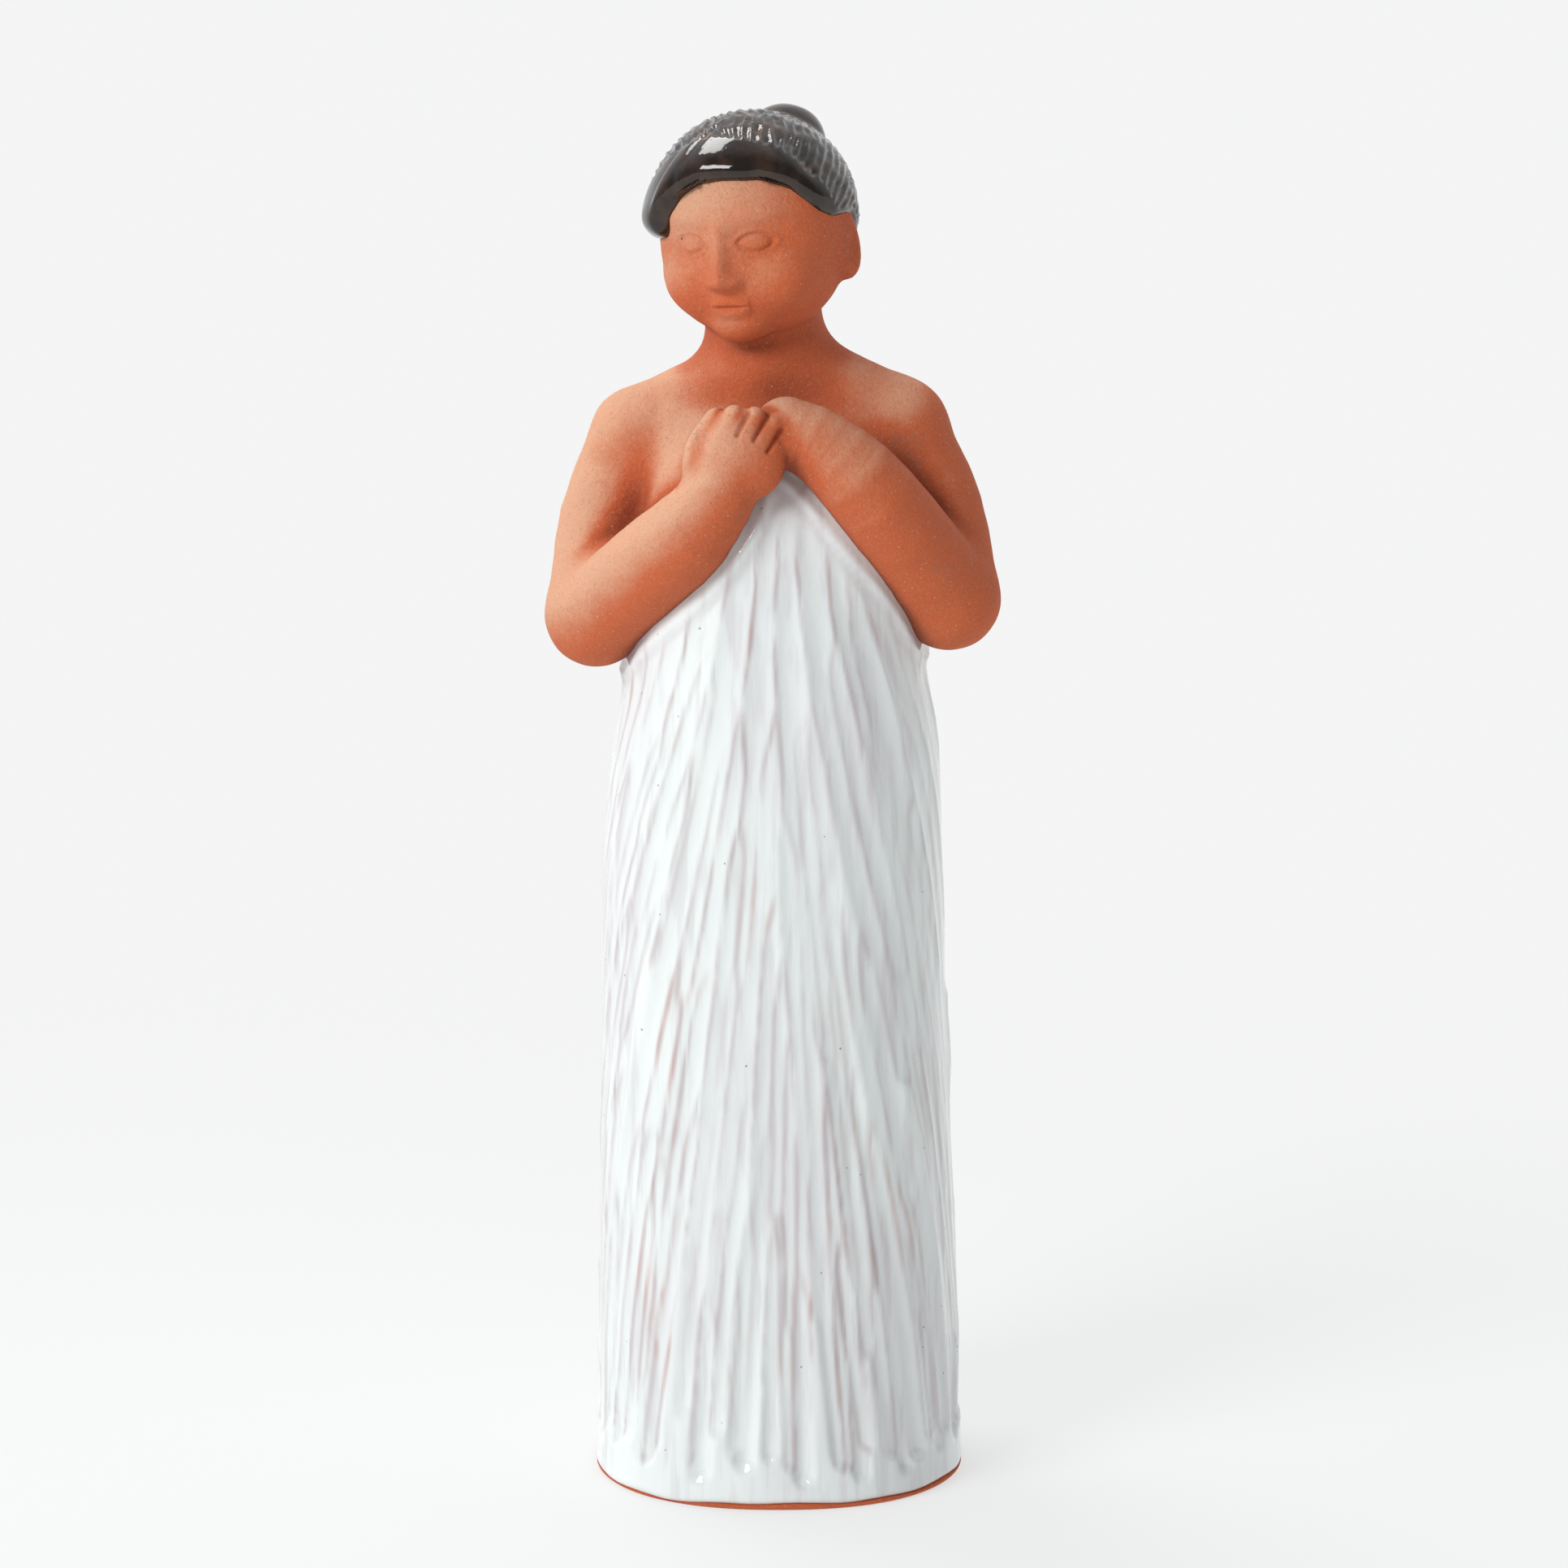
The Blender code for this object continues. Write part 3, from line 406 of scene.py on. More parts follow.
def spline(places, steps=LIMB_STEPS):
    """Places on the smooth curve through the given ones."""
    places = np.array(places, float)
    ends = np.vstack([2 * places[0] - places[1], places, 2 * places[-1] - places[-2]])
    route = []
    for a, b, c, d in zip(ends, ends[1:], ends[2:], ends[3:]):
        for t in np.arange(steps) / steps:
            route.append(0.5 * (2 * b + (c - a) * t + (2 * a - 5 * b + 4 * c - d) * t * t
                                + (3 * b - a - 3 * c + d) * t ** 3))
    return np.array(route + [places[-1]])


def limb(at, places, radii):
    """Distance from points to a round limb that follows a curve and changes its radius."""
    places = np.array(places, float)
    table = spline(np.column_stack([places, radii]))
    distance = np.full(len(at), FAR)
    widest = max(radii)
    near = close_to(at, table[:, :3].min(axis=0) - widest, table[:, :3].max(axis=0) + widest)
    here = at[near]
    nearest = np.full(len(here), FAR)
    for start, end in zip(table, table[1:]):
        along = end[:3] - start[:3]
        t = held((here - start[:3]) @ along / (along @ along))
        gap = np.linalg.norm(here - start[:3] - t[:, None] * along, axis=1)
        nearest = np.minimum(nearest, gap - start[3] - t * (end[3] - start[3]))
    distance[near] = nearest
    return distance


def melt(one, other, soft):
    """Join two distances into one, with a soft fillet."""
    share = held(0.5 + 0.5 * (other - one) / soft)
    return other + share * (one - other) - soft * share * (1 - share)


def both(one, other, soft):
    """Keep only what lies in both of two masses, with a soft edge."""
    return -melt(-one, -other, soft)


def eased(at, places, values, easing):
    """Values from a table at any place along it, with its corners smoothed away."""
    line = np.arange(places[0] - easing, places[-1] + easing, easing / EASING_STEPS)
    kernel = np.hanning(2 * EASING_STEPS + 1)
    ends = np.pad(np.interp(line, places, values), EASING_STEPS, mode="edge")
    return np.interp(at, line, np.convolve(ends, kernel / kernel.sum(), mode="valid"))


def girth(values, level):
    """One of the trunk's sizes at any level."""
    return eased(level, TRUNK_HEIGHTS, values, TRUNK_EASING)


def trunk(at):
    """Distance to the wrapped body, a round column that narrows to the chest."""
    x = at[:, 0] - girth(TRUNK_SHIFTS, at[:, 2])
    y = at[:, 1]
    half = girth(TRUNK_HALF_WIDTHS, at[:, 2])
    depth = np.where(y < 0, girth(TRUNK_FRONTS, at[:, 2]), girth(TRUNK_BACKS, at[:, 2]))
    power = TRUNK_SQUARENESS
    ring = (np.abs(x / half) ** power + np.abs(y / depth) ** power) ** (1 / power) + TINY
    flat = np.hypot(x, y)
    foot = FOOT_ROUNDING * held(1 - at[:, 2] / FOOT_ROUNDING) ** 2
    return both(flat - flat / ring + foot, at[:, 2] - TRUNK_TOP, SOFT_BODY)


def wrap_top(at):
    """How far points lie below the wrap's edge."""
    left = WRAP_LEFT[1] + WRAP_LEFT[2] * (at[:, 0] - WRAP_LEFT[0])
    right = WRAP_RIGHT[1] + WRAP_RIGHT[2] * (at[:, 0] - WRAP_RIGHT[0])
    front = melt(melt(left, right, SOFT_ARM), np.full(len(at), float(WRAP_PEAK)), SOFT_ARM)
    behind = held(at[:, 1] / TRUNK_BACKS[0])
    back = WRAP_SIDE + (WRAP_BACK - WRAP_SIDE) * np.sin(behind * math.pi / 2)
    share = held((at[:, 1] - LEFT_UPPER_ARM[-1][1]) / SOFT_BODY + 0.5)
    return front * (1 - share) + back * share - at[:, 2]


def arms(at):
    """Distance to both arms, folded over the chest."""
    left, right = (melt(limb(at, *upper), limb(at, *forearm), SOFT_ARM)
                   for upper, forearm in (LEFT_ARM, RIGHT_ARM))
    return melt(left, right, SOFT_ARM)


def hand(at):
    """Distance to the upper hand, whose fingers lie side by side."""
    palm = ball(at, (HAND_MIDDLE, HAND_HALF))
    palm = melt(palm, limb(at, THUMB, THUMB_RADII), SOFT_ARM)
    for knuckle, tip, radius in zip(FINGER_KNUCKLES, FINGER_TIPS, FINGER_RADII):
        palm = melt(palm, limb(at, (knuckle, tip), (radius, radius * FINGER_TAPER)), SOFT_FINGER)
    return palm


def mound(gap, width):
    """A soft rise of height 1 that falls off over a width."""
    return np.exp(-(gap / width) ** 2)


def to_head(at):
    """Points seen from the head's middle, along its own turned axes."""
    return (at - HEAD_MIDDLE) @ HEAD_AXES


def from_head(at):
    """Points given along the head's own axes, in the figure's axes."""
    return at @ HEAD_AXES.T + HEAD_MIDDLE


def mirrored(at, mass):
    """Distance to a mass and its twin on the head's other side."""
    return ball(np.column_stack([np.abs(at[:, 0]), at[:, 1:]]), mass)


def bare_head(at):
    """Distance to the head without its features."""
    form = melt(ball(at, SKULL), ball(at, JAW), SOFT_BODY)
    form = melt(form, mirrored(at, CHEEK), SOFT_FACE)
    return melt(form, ball(at, CHIN), SOFT_FACE)


def head_with_ears(at):
    """Distance to the head before its features are modelled, with its ears."""
    form = melt(bare_head(at), mirrored(at, EAR), SOFT_EAR)
    return both(form, -mirrored(at, EAR_HOLLOW), SOFT_EAR)


def hairline(at):
    """How far points lie above the edge of the hair, which falls from brow to ears to nape."""
    round_head = np.degrees(np.arctan2(at[:, 0], -at[:, 1]))
    before, level, after = (eased(round_head + turn, HAIR_ANGLES, HAIR_LEVELS, HAIR_EASING)
                            for turn in (-1, 0, 1))
    steepness = (after - before) / (2 * math.radians(1) * HAIR[1][0])
    return (at[:, 2] - level) / np.hypot(1, steepness)


def hair(at):
    """Distance to the hair: the cap, which rolls outwards over the brow, and the bun behind."""
    above = hairline(at)
    roll = HAIR_ROLL_RISE * mound(above - HAIR_ROLL_LEVEL, HAIR_ROLL_WIDTH)
    roll = roll * held(-at[:, 1] / HAIR_ROLL_FADE)
    cap = both(ball(at, HAIR) - roll, -above, HAIR_EDGE)
    return melt(cap, ball(at, BUN), BUN_JOIN)


def bare_figure(at):
    """Distance to the clay, without the wrap's thickness and without the hair."""
    shoulders = np.minimum(limb(at, *LEFT_SLOPE), limb(at, *RIGHT_SLOPE))
    neck = limb(at, *NECK)
    under_glaze = GLAZE_ROOM * held(wrap_top(at) / EDGE_ROOM - 0.5)
    core = trunk(at) + WRAP_THICKNESS + under_glaze
    body = melt(core, melt(shoulders, neck, SOFT_BODY), SOFT_BODY)
    body = melt(body, arms(at), SOFT_ARM)
    body = melt(body, hand(at), SOFT_HAND)
    high = np.flatnonzero(at[:, 2] > NECK_FOOT[2])
    body[high] = melt(body[high], head_with_ears(to_head(at[high])), SOFT_FACE)
    return body


def slopes(field, at):
    """The field's values, and its gradient from how it changes over a short step."""
    here = field(at)
    rises = [field(at + SLOPE_STEP * axis) - here for axis in np.eye(3)]
    return here, np.column_stack(rises) / SLOPE_STEP


def settle(at, field, rounds=3):
    """Move points onto the surface of a field."""
    for _ in range(rounds):
        here, slope = slopes(field, at)
        steep = np.maximum((slope ** 2).sum(axis=1), LEAST_STEEPNESS)
        at = at - np.clip(here / steep, -GRAIN, GRAIN)[:, None] * slope
    return at


def outward(field, at):
    """The way out of a field's surface at each point, one share long."""
    _, slope = slopes(field, at)
    return slope / (np.linalg.norm(slope, axis=1)[:, None] + TINY)


def gouge_lean(angle, level):
    """How far a gouge drifts sideways for each step down: outwards, and less near the foot."""
    fan = math.sin(GOUGE_FAN * max(-GOUGE_FAN_END, min(GOUGE_FAN_END, angle)))
    rise = (level - GOUGE_STEEP_LEVEL) / (GOUGE_TIERS[1][0] - GOUGE_STEEP_LEVEL)
    share = max(0.0, min(1.0, rise))
    return GOUGE_LEAN * fan * (GOUGE_LOW_LEAN + (1 - GOUGE_LOW_LEAN) * share)


def gouges():
    """The cuts of the wrap: levels and angles of each path, its width, its depth and its tint."""
    chance = random.Random(GOUGE_SEED)
    cuts = []
    for start, count in GOUGE_TIERS:
        for index in range(count):
            angle = math.tau * (index + chance.uniform(*GOUGE_PLACES)) / count - math.pi
            top = start + chance.uniform(-GOUGE_SCATTER, GOUGE_SCATTER)
            toe = max(top - chance.uniform(*GOUGE_LENGTHS),
                      GOUGE_FOOT_LEVEL + chance.uniform(0, GOUGE_FOOT_SCATTER))
            own_lean = chance.uniform(-GOUGE_LEAN_SCATTER, GOUGE_LEAN_SCATTER)
            levels = np.linspace(top, toe, GOUGE_STEPS)
            angles = [angle]
            for above, below in zip(levels, levels[1:]):
                lean = gouge_lean(angles[-1], above) + own_lean
                angles.append(angles[-1] + lean * (above - below) * math.tau / TRUNK_ROUND)
            width = TRUNK_ROUND / count * chance.uniform(*GOUGE_SPREAD)
            cuts.append((levels[::-1], np.array(angles[::-1]), width,
                         chance.uniform(*GOUGE_DEPTHS), chance.uniform(0, 1)))
    return cuts


def gouge_depths(at):
    """The deepest and the second cut at each point, and how strongly their ridge is tinted."""
    angle = np.arctan2(at[:, 0], -at[:, 1])
    radius = np.hypot(at[:, 0], at[:, 1])
    deepest = np.zeros(len(at))
    second = np.zeros(len(at))
    tint = np.zeros(len(at))
    for levels, angles, width, deep, strength in gouges():
        near = np.flatnonzero((at[:, 2] > levels[0]) & (at[:, 2] < levels[-1]))
        middle = np.interp(at[near, 2], levels, angles)
        turn = (angle[near] - middle + math.pi) % math.tau - math.pi
        close = np.abs(turn * radius[near]) < width / 2
        near, turn = near[close], turn[close]
        head = held((levels[-1] - at[near, 2]) / GOUGE_HEAD)
        toe = held((at[near, 2] - levels[0]) / GOUGE_TOE)
        toe = toe * (2 - toe)
        low = np.interp(-at[near, 2], [-level for level in FOOT_DEEP_LEVELS], (0, 1))
        deep_here = deep * (1 + FOOT_DEEPENING * low)
        cut = deep_here * (head * toe - (2 * turn * radius[near] / width) ** 2)
        cut = np.maximum(cut, 0)
        wins = cut > deepest[near]
        second[near] = np.where(wins, deepest[near], np.maximum(second[near], cut))
        tint[near] = np.where(wins, strength, tint[near])
        deepest[near] = np.maximum(deepest[near], cut)
    return deepest, second, tint


def hair_cut(at):
    """How deep the hair is notched, along slanting lines behind the smooth front of the cap."""
    off = at - HAIR[0]
    behind = off[:, 1] - HAIR_NOTCH_EDGE + HAIR_NOTCH_TILT * off[:, 2]
    across = np.arctan2(off[:, 0], off[:, 2]) * HAIR[1][0] + HAIR_NOTCH_LEAN * off[:, 1]
    trough = np.abs(np.sin(across * math.pi / HAIR_NOTCH_SPACING))
    fade = held(behind / HAIR_NOTCH_FADE - 1 + trough)
    fade *= held(ball(at, BUN) / HAIR_NOTCH_FADE - BUN_CLEAR)
    return HAIR_NOTCH_DEPTH * trough * fade * (hairline(at) > HAIR_EDGE / 2)


def eye_relief(x, z):
    """How far the brow, the socket, the lids and the eye stand out on either side."""
    arch = BROW_ARCH * ((x - BROW_SPAN[0]) / BROW_SPAN[1]) ** 2
    brow_level = BROW_LEVEL + BROW_LIFT - arch
    brow = BROW_RISE * mound(z - brow_level, BROW_WIDTH) * mound(x - BROW_SPAN[0], BROW_SPAN[1])
    across = (x - EYE_SPREAD) / EYE_HALF_WIDTH
    up = np.abs(z - EYE_LEVEL) / EYE_HALF_HEIGHT + EYE_ALMOND * across ** 2
    ring = np.hypot(across, up)
    socket = SOCKET_DEPTH * mound(np.hypot((x - EYE_SPREAD) / SOCKET_HALF[0],
                                           (z - EYE_LEVEL) / SOCKET_HALF[1]), 1)
    eye = EYE_RISE * held(FEATURE_REACH - ring ** 2)
    lid = LID_RISE * mound(ring - LID_REACH, LID_WIDTH)
    line = LID_LINE_DEPTH * mound(ring - 1, LID_LINE_WIDTH)
    return brow - socket + eye + lid - line


def face_relief(at):
    """How far the calm, general face stands out from the bare head."""
    x, z = np.abs(at[:, 0]), at[:, 2]
    rise = eased(z, NOSE_LEVELS, NOSE_RISES, NOSE_EASING)
    rise = rise * held(BROW_LEVEL + NOSE_ROOT - z)
    nose = rise * mound(x, eased(z, NOSE_LEVELS, NOSE_HALF_WIDTHS, NOSE_EASING))
    wing = NOSTRIL_RISE * mound(np.hypot(x - NOSTRIL[0], z - NOSTRIL[1]), NOSTRIL_SIZE)
    corner = held(1 - (x / LIP_HALF_WIDTH) ** 2)
    lips = 0
    for level, lip_rise, width in (UPPER_LIP, LOWER_LIP):
        lip_level = MOUTH_LEVEL + level * (LIP_CORNER + (1 - LIP_CORNER) * corner)
        lips = lips + lip_rise * mound(z - lip_level, width) * np.sqrt(corner)
    line = LIP_LINE_DEPTH * mound(z - MOUTH_LEVEL, LIP_LINE_WIDTH)
    line = line * held(FEATURE_REACH - (x / LIP_HALF_WIDTH) ** 2)
    front = held((FACE_FRONT - at[:, 1]) / FACE_FADE)
    return (eye_relief(x, z) + nose + wing + lips - line) * front


def finger_cut(at):
    """How deep the lines between the fingers are."""
    depth = np.zeros(len(at))
    pairs = list(zip(FINGER_KNUCKLES, FINGER_TIPS))
    for (near_knuckle, near_tip), (far_knuckle, far_tip) in zip(pairs, pairs[1:]):
        start = (np.array(near_knuckle) + far_knuckle) / 2
        end = (np.array(near_tip) + far_tip) / 2
        along = end[[0, 2]] - start[[0, 2]]
        off = at[:, [0, 2]] - start[[0, 2]]
        t = np.clip(off @ along / (along @ along), *FINGER_LINE_SPAN)
        gap = np.linalg.norm(off - t[:, None] * along, axis=1)
        line = FINGER_LINE_DEPTH * mound(gap, FINGER_LINE_WIDTH)
        depth = np.maximum(depth, line * (at[:, 1] < HAND_MIDDLE[1] + FINGER_LINE_BACK))
    return depth


def relief(at, wavelength, seed):
    """Smooth noise at each point, from about -1 to 1."""
    return np.array([noise.noise(Vector(place) / wavelength + Vector((seed, seed, seed)))
                     for place in at]) * NOISE_REACH


def add_ball(bm, middle, half):
    """A sphere of the rough mass, stretched to its half sizes."""
    made = bmesh.ops.create_uvsphere(bm, u_segments=BALL_SIDES, v_segments=BALL_RINGS, radius=1)
    ball_verts = made["verts"]
    for vert in ball_verts:
        for axis in range(3):
            vert.co[axis] = vert.co[axis] * half[axis] + middle[axis]
    return ball_verts


def add_limb(bm, places, radii):
    """A row of spheres along a limb, close enough to read as one."""
    table = spline(np.column_stack([np.array(places, float), radii]))
    for x, y, z, radius in table:
        add_ball(bm, (x, y, z), (radius, radius, radius))


def keep_outer_skin(thing):
    """Take out closed pockets between the masses, so that one skin is left."""
    bm = bmesh.new()
    bm.from_mesh(thing.data)
    left = set(bm.verts)
    skins = []
    while left:
        skin = {left.pop()}
        front = list(skin)
        while front:
            beside = {vert for edge in front.pop().link_edges for vert in edge.verts} - skin
            skin |= beside
            front.extend(beside)
        left -= skin
        skins.append(skin)
    skins.sort(key=len)
    pockets = [vert for skin in skins[:-1] for vert in skin]
    bmesh.ops.delete(bm, geom=pockets, context="VERTS")
    bm.to_mesh(thing.data)
    bm.free()


def applied(thing):
    """Turn an object's modifiers into its mesh."""
    graph = bpy.context.evaluated_depsgraph_get()
    mesh = bpy.data.meshes.new_from_object(thing.evaluated_get(graph))
    thing.modifiers.clear()
    old = thing.data
    thing.data = mesh
    bpy.data.meshes.remove(old)


def places_of(mesh):
    """The mesh's vertices as an array."""
    flat = np.empty(len(mesh.vertices) * 3)
    mesh.vertices.foreach_get("co", flat)
    return flat.reshape(-1, 3)


def placed(name, data):
    """A new object in the scene."""
    thing = bpy.data.objects.new(name, data)
    bpy.context.scene.collection.objects.link(thing)
    return thing


def new_mesh(name, points, faces):
    """An object made of points in shares, which are turned into metres."""
    mesh = bpy.data.meshes.new(name)
    mesh.from_pydata((np.asarray(points) * SHARE).tolist(), [], faces)
    mesh.shade_smooth()
    return placed(name, mesh)


def note(thing, name, values):
    """Store a number for each vertex, for the material to read."""
    layer = thing.data.attributes.new(name, "FLOAT", "POINT")
    layer.data.foreach_set("value", np.asarray(values, np.float32))


def rim_level(angle):
    """The level where the wrap's glaze stops above the foot."""
    wander = sum(np.sin(count * angle + start) * share for count, start, share in RIM_WAVES)
    return RIM_LEVEL + RIM_WANDER * wander


def around(angle, level, out):
    """Places on the trunk's surface, moved outwards, for angles and levels that fit together."""
    half = girth(TRUNK_HALF_WIDTHS, level)
    depth = np.where(np.cos(angle) > 0, girth(TRUNK_FRONTS, level), girth(TRUNK_BACKS, level))
    power = TRUNK_SQUARENESS
    reach = ((np.abs(np.sin(angle)) / half) ** power
             + (np.abs(np.cos(angle)) / depth) ** power) ** (-1 / power)
    reach = reach + out - FOOT_ROUNDING * held(1 - level / FOOT_ROUNDING) ** 2
    shift = girth(TRUNK_SHIFTS, level)
    return np.stack([shift + reach * np.sin(angle), -reach * np.cos(angle),
                     level + 0 * angle], axis=-1)


def rough_upper_body():
    """The masses of the clay above the cut, as overlapping closed forms in one mesh."""
    bm = bmesh.new()
    angles = np.arange(CORE_SIDES) * math.tau / CORE_SIDES
    rings = []
    for level in np.arange(CUT_LEVEL - CORE_OVERLAP, TRUNK_TOP + 1, CORE_RING_GAP):
        ring = around(angles, np.full(CORE_SIDES, level), -WRAP_THICKNESS)
        rings.append([bm.verts.new(place) for place in ring])
    for low, high in zip(rings, rings[1:]):
        for index in range(CORE_SIDES):
            after = (index + 1) % CORE_SIDES
            bm.faces.new((low[index], low[after], high[after], high[index]))
    bm.faces.new(reversed(rings[0]))
    bm.faces.new(rings[-1])
    for mass in (*LEFT_ARM, *RIGHT_ARM, (THUMB, THUMB_RADII), NECK, LEFT_SLOPE, RIGHT_SLOPE):
        add_limb(bm, *mass)
    add_ball(bm, HAND_MIDDLE, HAND_HALF)
    for knuckle, tip, radius in zip(FINGER_KNUCKLES, FINGER_TIPS, FINGER_RADII):
        add_limb(bm, (knuckle, tip), (radius, radius))
    masses = [SKULL, JAW, CHIN, CHEEK, EAR]
    masses += [((-mass[0][0], *mass[0][1:]), mass[1]) for mass in (CHEEK, EAR)]
    for middle, half in masses:
        for vert in add_ball(bm, middle, half):
            vert.co = from_head(np.array(vert.co))
    return bm


def remeshed(name, bm, grain):
    """One even skin round the overlapping masses."""
    thing = new_mesh(name, np.zeros((0, 3)), [])
    bm.to_mesh(thing.data)
    bm.free()
    skin = thing.modifiers.new("skin", "REMESH")
    skin.mode = "VOXEL"
    skin.voxel_size = grain
    applied(thing)
    keep_outer_skin(thing)
    return thing


def subdivide_where(bm, chosen):
    """Halve the faces that are chosen by their middles."""
    bm.faces.ensure_lookup_table()
    middles = np.array([face.calc_center_median() for face in bm.faces])
    edges = {edge for face, fits in zip(bm.faces, chosen(middles)) if fits for edge in face.edges}
    bmesh.ops.subdivide_edges(bm, edges=list(edges), cuts=1, use_grid_fill=True)
    bmesh.ops.triangulate(bm, faces=[face for face in bm.faces if len(face.verts) > 4])


def seen_clay(middles):
    """The clay that shows: what isn't under the hair."""
    local = to_head(middles)
    return ~((hairline(local) > HAIR_COVERS) & (middles[:, 2] > NECK_HEAD[2]))


def finely_cut(middles):
    """The face's front and the hand, where the finest lines are cut."""
    local = to_head(middles)
    on_head = ((local[:, 1] < FINE_FACE_FRONT) & (np.abs(local[:, 0]) < FINE_FACE_HALF[0])
               & (np.abs(local[:, 2] - FINE_FACE_MIDDLE) < FINE_FACE_HALF[1]))
    off_hand = np.abs(middles - HAND_MIDDLE - FINE_HAND_OFF)
    return on_head | (off_hand < FINE_HAND_HALF).all(axis=1)


def refine_and_draw_down(thing):
    """Cut the upper body level, refine what shows of it, and draw its core down to the foot."""
    bm = bmesh.new()
    bm.from_mesh(thing.data)
    whole = bm.verts[:] + bm.edges[:] + bm.faces[:]
    bmesh.ops.bisect_plane(bm, geom=whole, plane_co=(0, 0, CUT_LEVEL), plane_no=(0, 0, 1),
                           clear_inner=True)
    subdivide_where(bm, seen_clay)
    subdivide_where(bm, finely_cut)
    rim = [edge for edge in bm.edges if edge.is_boundary]
    for level in CORE_LEVELS:
        made = bmesh.ops.extrude_edge_only(bm, edges=rim)["geom"]
        rim = [part for part in made if isinstance(part, bmesh.types.BMEdge)]
        verts = [part for part in made if isinstance(part, bmesh.types.BMVert)]
        angles = np.array([math.atan2(vert.co.x, -vert.co.y) for vert in verts])
        under = held((level - rim_level(angles) - RIM_TUCK) / RIM_TUCK_HEIGHT)
        inset = -RIM_INSET - under * (WRAP_THICKNESS + GLAZE_ROOM - RIM_INSET)
        ring = around(angles, np.full(len(verts), max(level, 0.0)), inset)
        for vert, place in zip(verts, ring):
            vert.co = place
    bmesh.ops.contextual_create(bm, geom=rim)
    bmesh.ops.recalc_face_normals(bm, faces=bm.faces[:])
    bm.to_mesh(thing.data)
    bm.free()


def make_clay():
    """The bare clay: the upper body from its distances, and a plain core under the glaze."""
    thing = remeshed("figurine_clay", rough_upper_body(), GRAIN)
    settled = settle(places_of(thing.data), bare_figure)
    thing.data.vertices.foreach_set("co", settled.ravel())
    refine_and_draw_down(thing)

    at = places_of(thing.data)
    upper = np.flatnonzero(at[:, 2] > CUT_LEVEL + 1)
    settled = settle(at[upper], bare_figure, 2)
    slope = outward(bare_figure, settled)
    # How open each point is, sampled outwards from the surface: it drives the painted shade in the
    # clay's hollows
    openness = np.ones(len(at))
    openness[upper] = np.mean([held(bare_figure(settled + slope * reach) / reach)
                               for reach in HOLLOW_REACHES], axis=0)
    local = to_head(settled)
    depth = CLAY_SINK + finger_cut(settled)
    depth -= face_relief(local) * (ball(local, HAIR) < MARGIN)
    depth -= CLAY_UNEVEN * sum(share * relief(settled, wavelength, seed)
                               for share, wavelength, seed in CLAY_WAVES)
    at[upper] = settled - slope * depth[:, None]
    facing = np.zeros((len(at), 3))
    facing[upper] = slope
    thing.data.vertices.foreach_set("co", (at * SHARE).ravel())
    note(thing, "open", openness)
    # lit: how far each point faces the key lamp; it drives the clay's painted light
    note(thing, "lit", 0.5 + 0.5 * facing @ np.array(RUBBED_AND_LIT_SIDE))
    thing.data.shade_smooth()
    return thing


def edge_spaced(count, length):
    """Steps along a length that lie closer together at both of its ends."""
    low, high = np.array(FOOT_STEPS), np.array(TOP_STEPS)
    middle = np.linspace(0, 1, count - len(low) - len(high) + 2)[1:-1]
    inner = low[-1] + middle[None, :] * (length[:, None] - low[-1] - high[-1])
    start = np.broadcast_to(low, (len(length), len(low)))
    return np.concatenate([start, inner, length[:, None] - high[None, ::-1]], axis=1)


def wrap_edge(angles):
    """The level where the wrap ends above, for each angle round the trunk."""
    level = np.full(len(angles), EDGE_GUESS)
    for _ in range(EDGE_ROUNDS):
        level = level + EDGE_STRIDE * wrap_top(around(angles, level, 0.0))
    return level


def smoothed(values, axis):
    """The values of a grid, eased with their neighbours on both sides."""
    return (np.roll(values, 1, axis) + 2 * values + np.roll(values, -1, axis)) / 4


def glaze_height(flat, cut, from_top, from_foot, to_arms):
    """How far the glaze stands out from the wrap's surface, rolled inwards at both edges."""
    raised = np.maximum(GLAZE_BEAD * mound(to_arms - GLAZE_BEAD_PLACE, GLAZE_BEAD_WIDTH),
                        HEM_THICKNESS * mound(from_top - HEM_WIDTH, HEM_WIDTH))
    uneven = sum(height * relief(flat * [1, 1, drawn], wavelength, seed)
                 for height, wavelength, seed, drawn in GLAZE_WAVES)
    out = -GLAZE_SINK - cut + np.minimum(uneven, GLAZE_WAVE_MOST) + raised
    out = np.minimum(out + FOOT_POOL * mound(from_foot - FOOT_POOL_PLACE, FOOT_POOL_WIDTH), raised)
    edge = np.minimum(from_top, from_foot)
    roll = 1 - np.sqrt(1 - held(1 - edge / GLAZE_EDGE) ** 2)
    return out * (1 - roll) + (GLAZE_INNER + GLAZE_LIP) * roll


def ridge_tint(deepest, second, tint):
    """How strongly each point is tinted as a ridge: where the two deepest cuts meet sharply."""
    gap = deepest - second
    steps = np.abs(np.roll(gap, -1, axis=0) - gap) / (TRUNK_ROUND / WRAP_COLUMNS)
    steep = np.maximum(steps, np.roll(steps, 1, axis=0))
    ridge = mound(gap / np.maximum(steep, RIDGE_STEEPNESS[0]), RIDGE_WIDTH)
    ridge *= held(steep / RIDGE_STEEPNESS[1]) * held(second / RIDGE_LEAST_CUT)
    ridge *= (held(RIDGE_MOST_CUT - second / GOUGE_DEPTHS[1])
              * (RIDGE_LEAST_TINT + (1 - RIDGE_LEAST_TINT) * tint))
    for axis in (0, 1):
        ridge = smoothed(ridge, axis)
    return held(RIDGE_STRENGTH * ridge)


